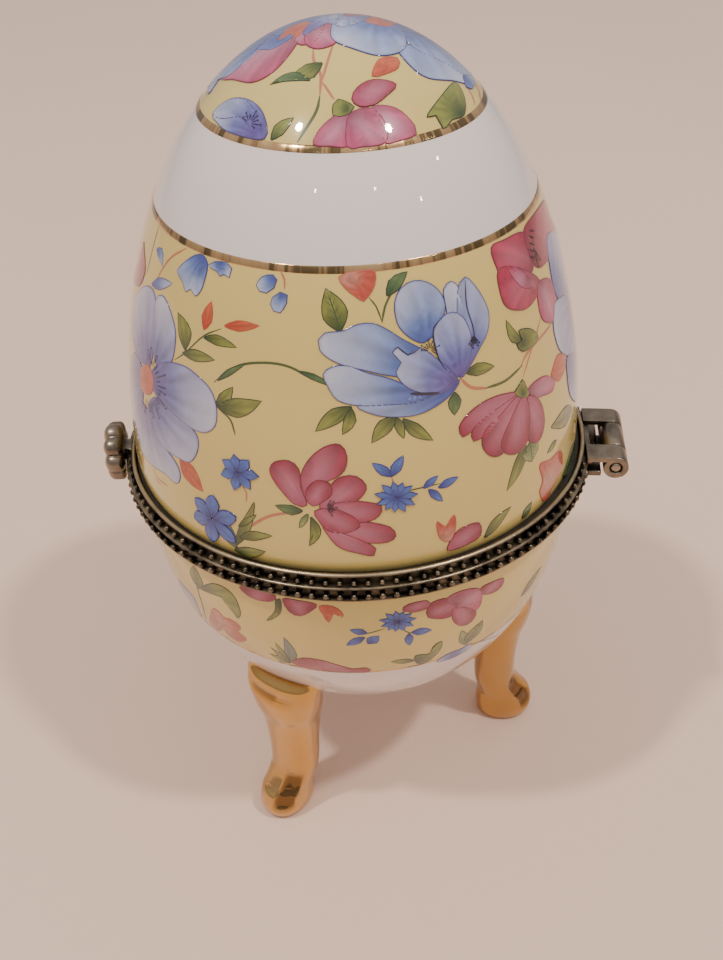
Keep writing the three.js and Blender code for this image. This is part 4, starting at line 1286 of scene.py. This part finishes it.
stud_z = (stud_low[2] + stud_high[2]) / 2
stud_profile = [
    (0.01, 0), (0.46, 0), (0.46, 0.7), (0.56, 0.86), (0.78, 1.05), (0.8, 1.3), (0.74, 1.55), (0.52, 1.85),
    (0.24, 1.98), (0.01, 2.0),
]
stud_base = ring_y - bowl_neck - 0.05


def about_stud(radius, along, a):
    return radius * math.cos(a), stud_base - along, stud_z + radius * math.sin(a)


verts, faces = turned(stud_profile, 36, about_stud)
stud = mesh("catch_stud_head", verts, faces + ends(len(stud_profile), 36), hinge_bronze)
painted(across_clasp(normals_out(stud)), lambda x, y, z: 0.5)


# ---- Feet -------------------------------------------------------------------------------------------
# Sections from the sole up: share of the height, shift outwards, half depth, half width.

FOOT = [
    (0.0, 0.0, 3.9, 3.1), (0.019, 0.0, 4.5, 3.7), (0.076, 0.1, 4.8, 3.95), (0.146, 0.0, 4.5, 3.8),
    (0.178, -0.35, 4.05, 3.65), (0.21, -0.85, 3.75, 3.65), (0.26, -1.5, 3.45, 3.7),
    (0.317, -1.8, 3.35, 3.75),
    (0.492, -1.8, 3.5, 3.95), (0.651, -1.6, 3.9, 4.5), (0.778, -1.0, 4.3, 5.4), (0.905, -0.4, 4.0, 6.0),
    (1.0, -1.2, 3.4, 6.1),
]


def foot(name, node, lean, facing):
    """One foot: lean is how far its top is to the side, facing how far its toe's hollow is."""
    tall = box_mm(node)[1][2]
    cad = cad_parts[node]
    soles = [v.co / MM for v in cad.data.vertices if v.co.z < 0.02 * MM]
    sole = sum(soles, Vector()) / len(soles)
    bearing = math.atan2(sole.y - shell_y, sole.x)
    way = np.array([math.cos(bearing), math.sin(bearing), 0])
    side = np.array([-way[1], way[0], 0])
    stand = math.hypot(sole.x, sole.y - shell_y)
    rows, around = 110, 72
    verts, faces, painted_shade = [], [], []
    knots = [np.array(r) for r in FOOT]
    knots = [2 * knots[0] - knots[1], *knots, 2 * knots[-1] - knots[-2]]
    for i in range(rows):
        place = (i / (rows - 1)) * (len(FOOT) - 1)
        k = min(int(place), len(FOOT) - 2)
        share, out, depth, width = catmull(*knots[k:k + 4], place - k)
        z = min(max(share, 0), 1) * tall
        for j in range(around):
            t = 2 * math.pi * j / around
            c, s = math.cos(t), math.sin(t)
            power = 0.86 if z > 6 else 0.95
            u = depth * math.copysign(abs(c) ** power, c)
            v = width * math.copysign(abs(s) ** power, s)
            dark = 0.0
            if c > 0:
                dish = max(0, 1 - (abs(v - facing) / (0.38 * width)) ** 4)
                hollow = 1 / (1 + math.exp((z - 8.4) / 0.5)) / (1 + math.exp((2.9 - z) / 0.3))
                u -= dish * 0.85 * hollow
                # Painted shade: the toe's hollow is written dark.
                dark = min(1.0, 1.6 * dish * hollow) * 0.85
                u += 0.3 * math.exp(-((z - tall + 1.0) / 0.6) ** 2)
                slot = math.exp(-((z - tall + 2.9) / 0.75) ** 2) * max(0, 1 - (abs(v) / (0.7 * width)) ** 6)
                u -= 0.5 * slot
                # Painted shade: the slot under the shoulder's ridge is written dark, darker on one side.
                dark = max(dark, 0.75 * slot * (1 if v < 0.15 * width else 0.25))
            spot = np.array([0, shell_y, z]) + way * (stand + out + u) + side * (v + lean * i / (rows - 1))
            gap = 0.25
            inner = float(radius_at(bowl_shape, z, -gap)) if z > bowl_bottom + gap else 0
            flat = math.hypot(spot[0], spot[1] - shell_y)
            if flat < inner:
                spot[0] *= inner / flat
                spot[1] = shell_y + (spot[1] - shell_y) * inner / flat
            verts.append(spot)
            painted_shade.append(dark)
    for i in range(rows - 1):
        for j in range(around):
            m = (j + 1) % around
            faces.append((i * around + j, i * around + m, (i + 1) * around + m, (i + 1) * around + j))
    faces += ends(rows, around)
    return sharp(normals_out(mesh(name, verts, faces, gilding, grey(painted_shade))), 50)


# Lean and facing of each foot.
foot_sets = {"foot_rear": (-1.0, -1.8), "foot_front_left": (0.0, 0.0), "foot_front_right": (2.0, 1.9)}
feet = [foot("gilded_" + node, node, *how) for node, how in foot_sets.items()]


# ---- Riding -----------------------------------------------------------------------------------------

def fit(obj, body, slot, *nodes):
    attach(obj, body)
    if nodes:
        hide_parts(*nodes)


for piece in (
    (lid, "lid", "glazed_porcelain", "upper_shell"),
    (lid_print, "lid", "glazed_porcelain"),
    (lid_lines, "lid", "glazed_porcelain"),
    (upper_ring, "lid", "aged_brass", "upper_bezel"),
    (lid_cement, "lid", "cement", "upper_cement"),
    (upper_leaf, "lid", "aged_brass", "hinge_leaf_upper"),
    (plaque, "lid", "aged_brass", "clasp_plaque"),
    (bracket, "lid", "aged_brass", "clasp_bracket"),
    (bowl, "base", "glazed_porcelain", "lower_shell"),
    (bowl_print, "base", "glazed_porcelain"),
    (bowl_line, "base", "glazed_porcelain"),
    (lower_ring, "base", "aged_brass", "lower_bezel"),
    (bowl_cement, "base", "cement", "lower_cement"),
    (lower_leaf, "base", "aged_brass", "hinge_leaf_lower"),
    (pin, "base", "aged_brass", "hinge_pin"),
    (stud, "base", "aged_brass", "catch_stud"),
):
    fit(*piece)
for obj, node in zip(feet, foot_sets):
    fit(obj, "base", "gold_lustre", node)


# ---- Table, light, camera ---------------------------------------------------------------------------

table_verts = [(-900, -900, 0), (900, -900, 0), (900, 900, 0), (-900, 900, 0)]
table = mesh("table_top", table_verts, [(0, 1, 2, 3)], floor_material(), smooth=False)

world = bpy.data.worlds.new("studio")
bpy.context.scene.world = world
world.use_nodes = True
tree = world.node_tree
background = tree.nodes["Background"]
spot = tree.nodes.new("ShaderNodeTexCoord").outputs["Generated"]
height = tree.nodes.new("ShaderNodeSeparateXYZ")
tree.links.new(spot, height.inputs[0])
sky = tree.nodes.new("ShaderNodeValToRGB")
tree.links.new(height.outputs["Z"], sky.inputs["Fac"])
sky.color_ramp.elements[0].position = 0.0
sky.color_ramp.elements[0].color = (0.46, 0.40, 0.375, 1)
sky.color_ramp.elements[1].position = 0.9
sky.color_ramp.elements[1].color = (0.95, 0.90, 0.87, 1)
tree.links.new(sky.outputs["Color"], background.inputs["Color"])
background.inputs["Strength"].default_value = 0.80


def lamp(name, azimuth, elevation, distance, size, power, colour=(1.0, 0.93, 0.86), at=(0, 0, 0.085)):
    a, e = math.radians(azimuth), math.radians(elevation)
    way = Vector((math.cos(a) * math.cos(e), math.sin(a) * math.cos(e), math.sin(e)))
    data = bpy.data.lights.new(name, "AREA")
    data.shape = "DISK"
    data.size = size
    data.energy = power
    data.color = colour
    obj = bpy.data.objects.new(name, data)
    obj.location = Vector(at) + way * distance
    obj.rotation_euler = way.to_track_quat("Z", "Y").to_euler()
    bpy.context.scene.collection.objects.link(obj)


lamp("lamp_right", 66, 61, 1.5, 0.10, 10.5)
lamp("lamp_left", -55, 63, 1.5, 0.10, 10.5)
cap = (0.018, 0.0, 0.104)
for number, (azimuth, elevation) in enumerate([(-17.3, 45.7), (30.5, 45.6), (61.0, 34.6), (86.6, 37.6)]):
    lamp(f"lamp_small_{number}", azimuth, elevation, 1.1, 0.026, 0.16, at=cap)

camera = bpy.data.cameras.new("camera")
camera.sensor_fit = "VERTICAL"
camera.sensor_height = 36.0
camera.lens = 41.25
camera.clip_start = 0.005
eye = bpy.data.objects.new("camera", camera)
bpy.context.scene.collection.objects.link(eye)
turn, tilt, roll = math.radians(96.6), math.radians(37.45), math.radians(-2.4)
back = Vector((math.sin(turn) * math.cos(tilt), -math.cos(turn) * math.cos(tilt), math.sin(tilt)))
flat_right = Vector((math.cos(turn), math.sin(turn), 0))
flat_up = back.cross(flat_right)
right = flat_right * math.cos(roll) + flat_up * math.sin(roll)
upward = flat_up * math.cos(roll) - flat_right * math.sin(roll)
axes = Matrix((right, upward, back)).transposed().to_4x4()
eye.matrix_world = Matrix.Translation((0.13066, 0.01441, 0.15075)) @ axes
bpy.context.scene.camera = eye
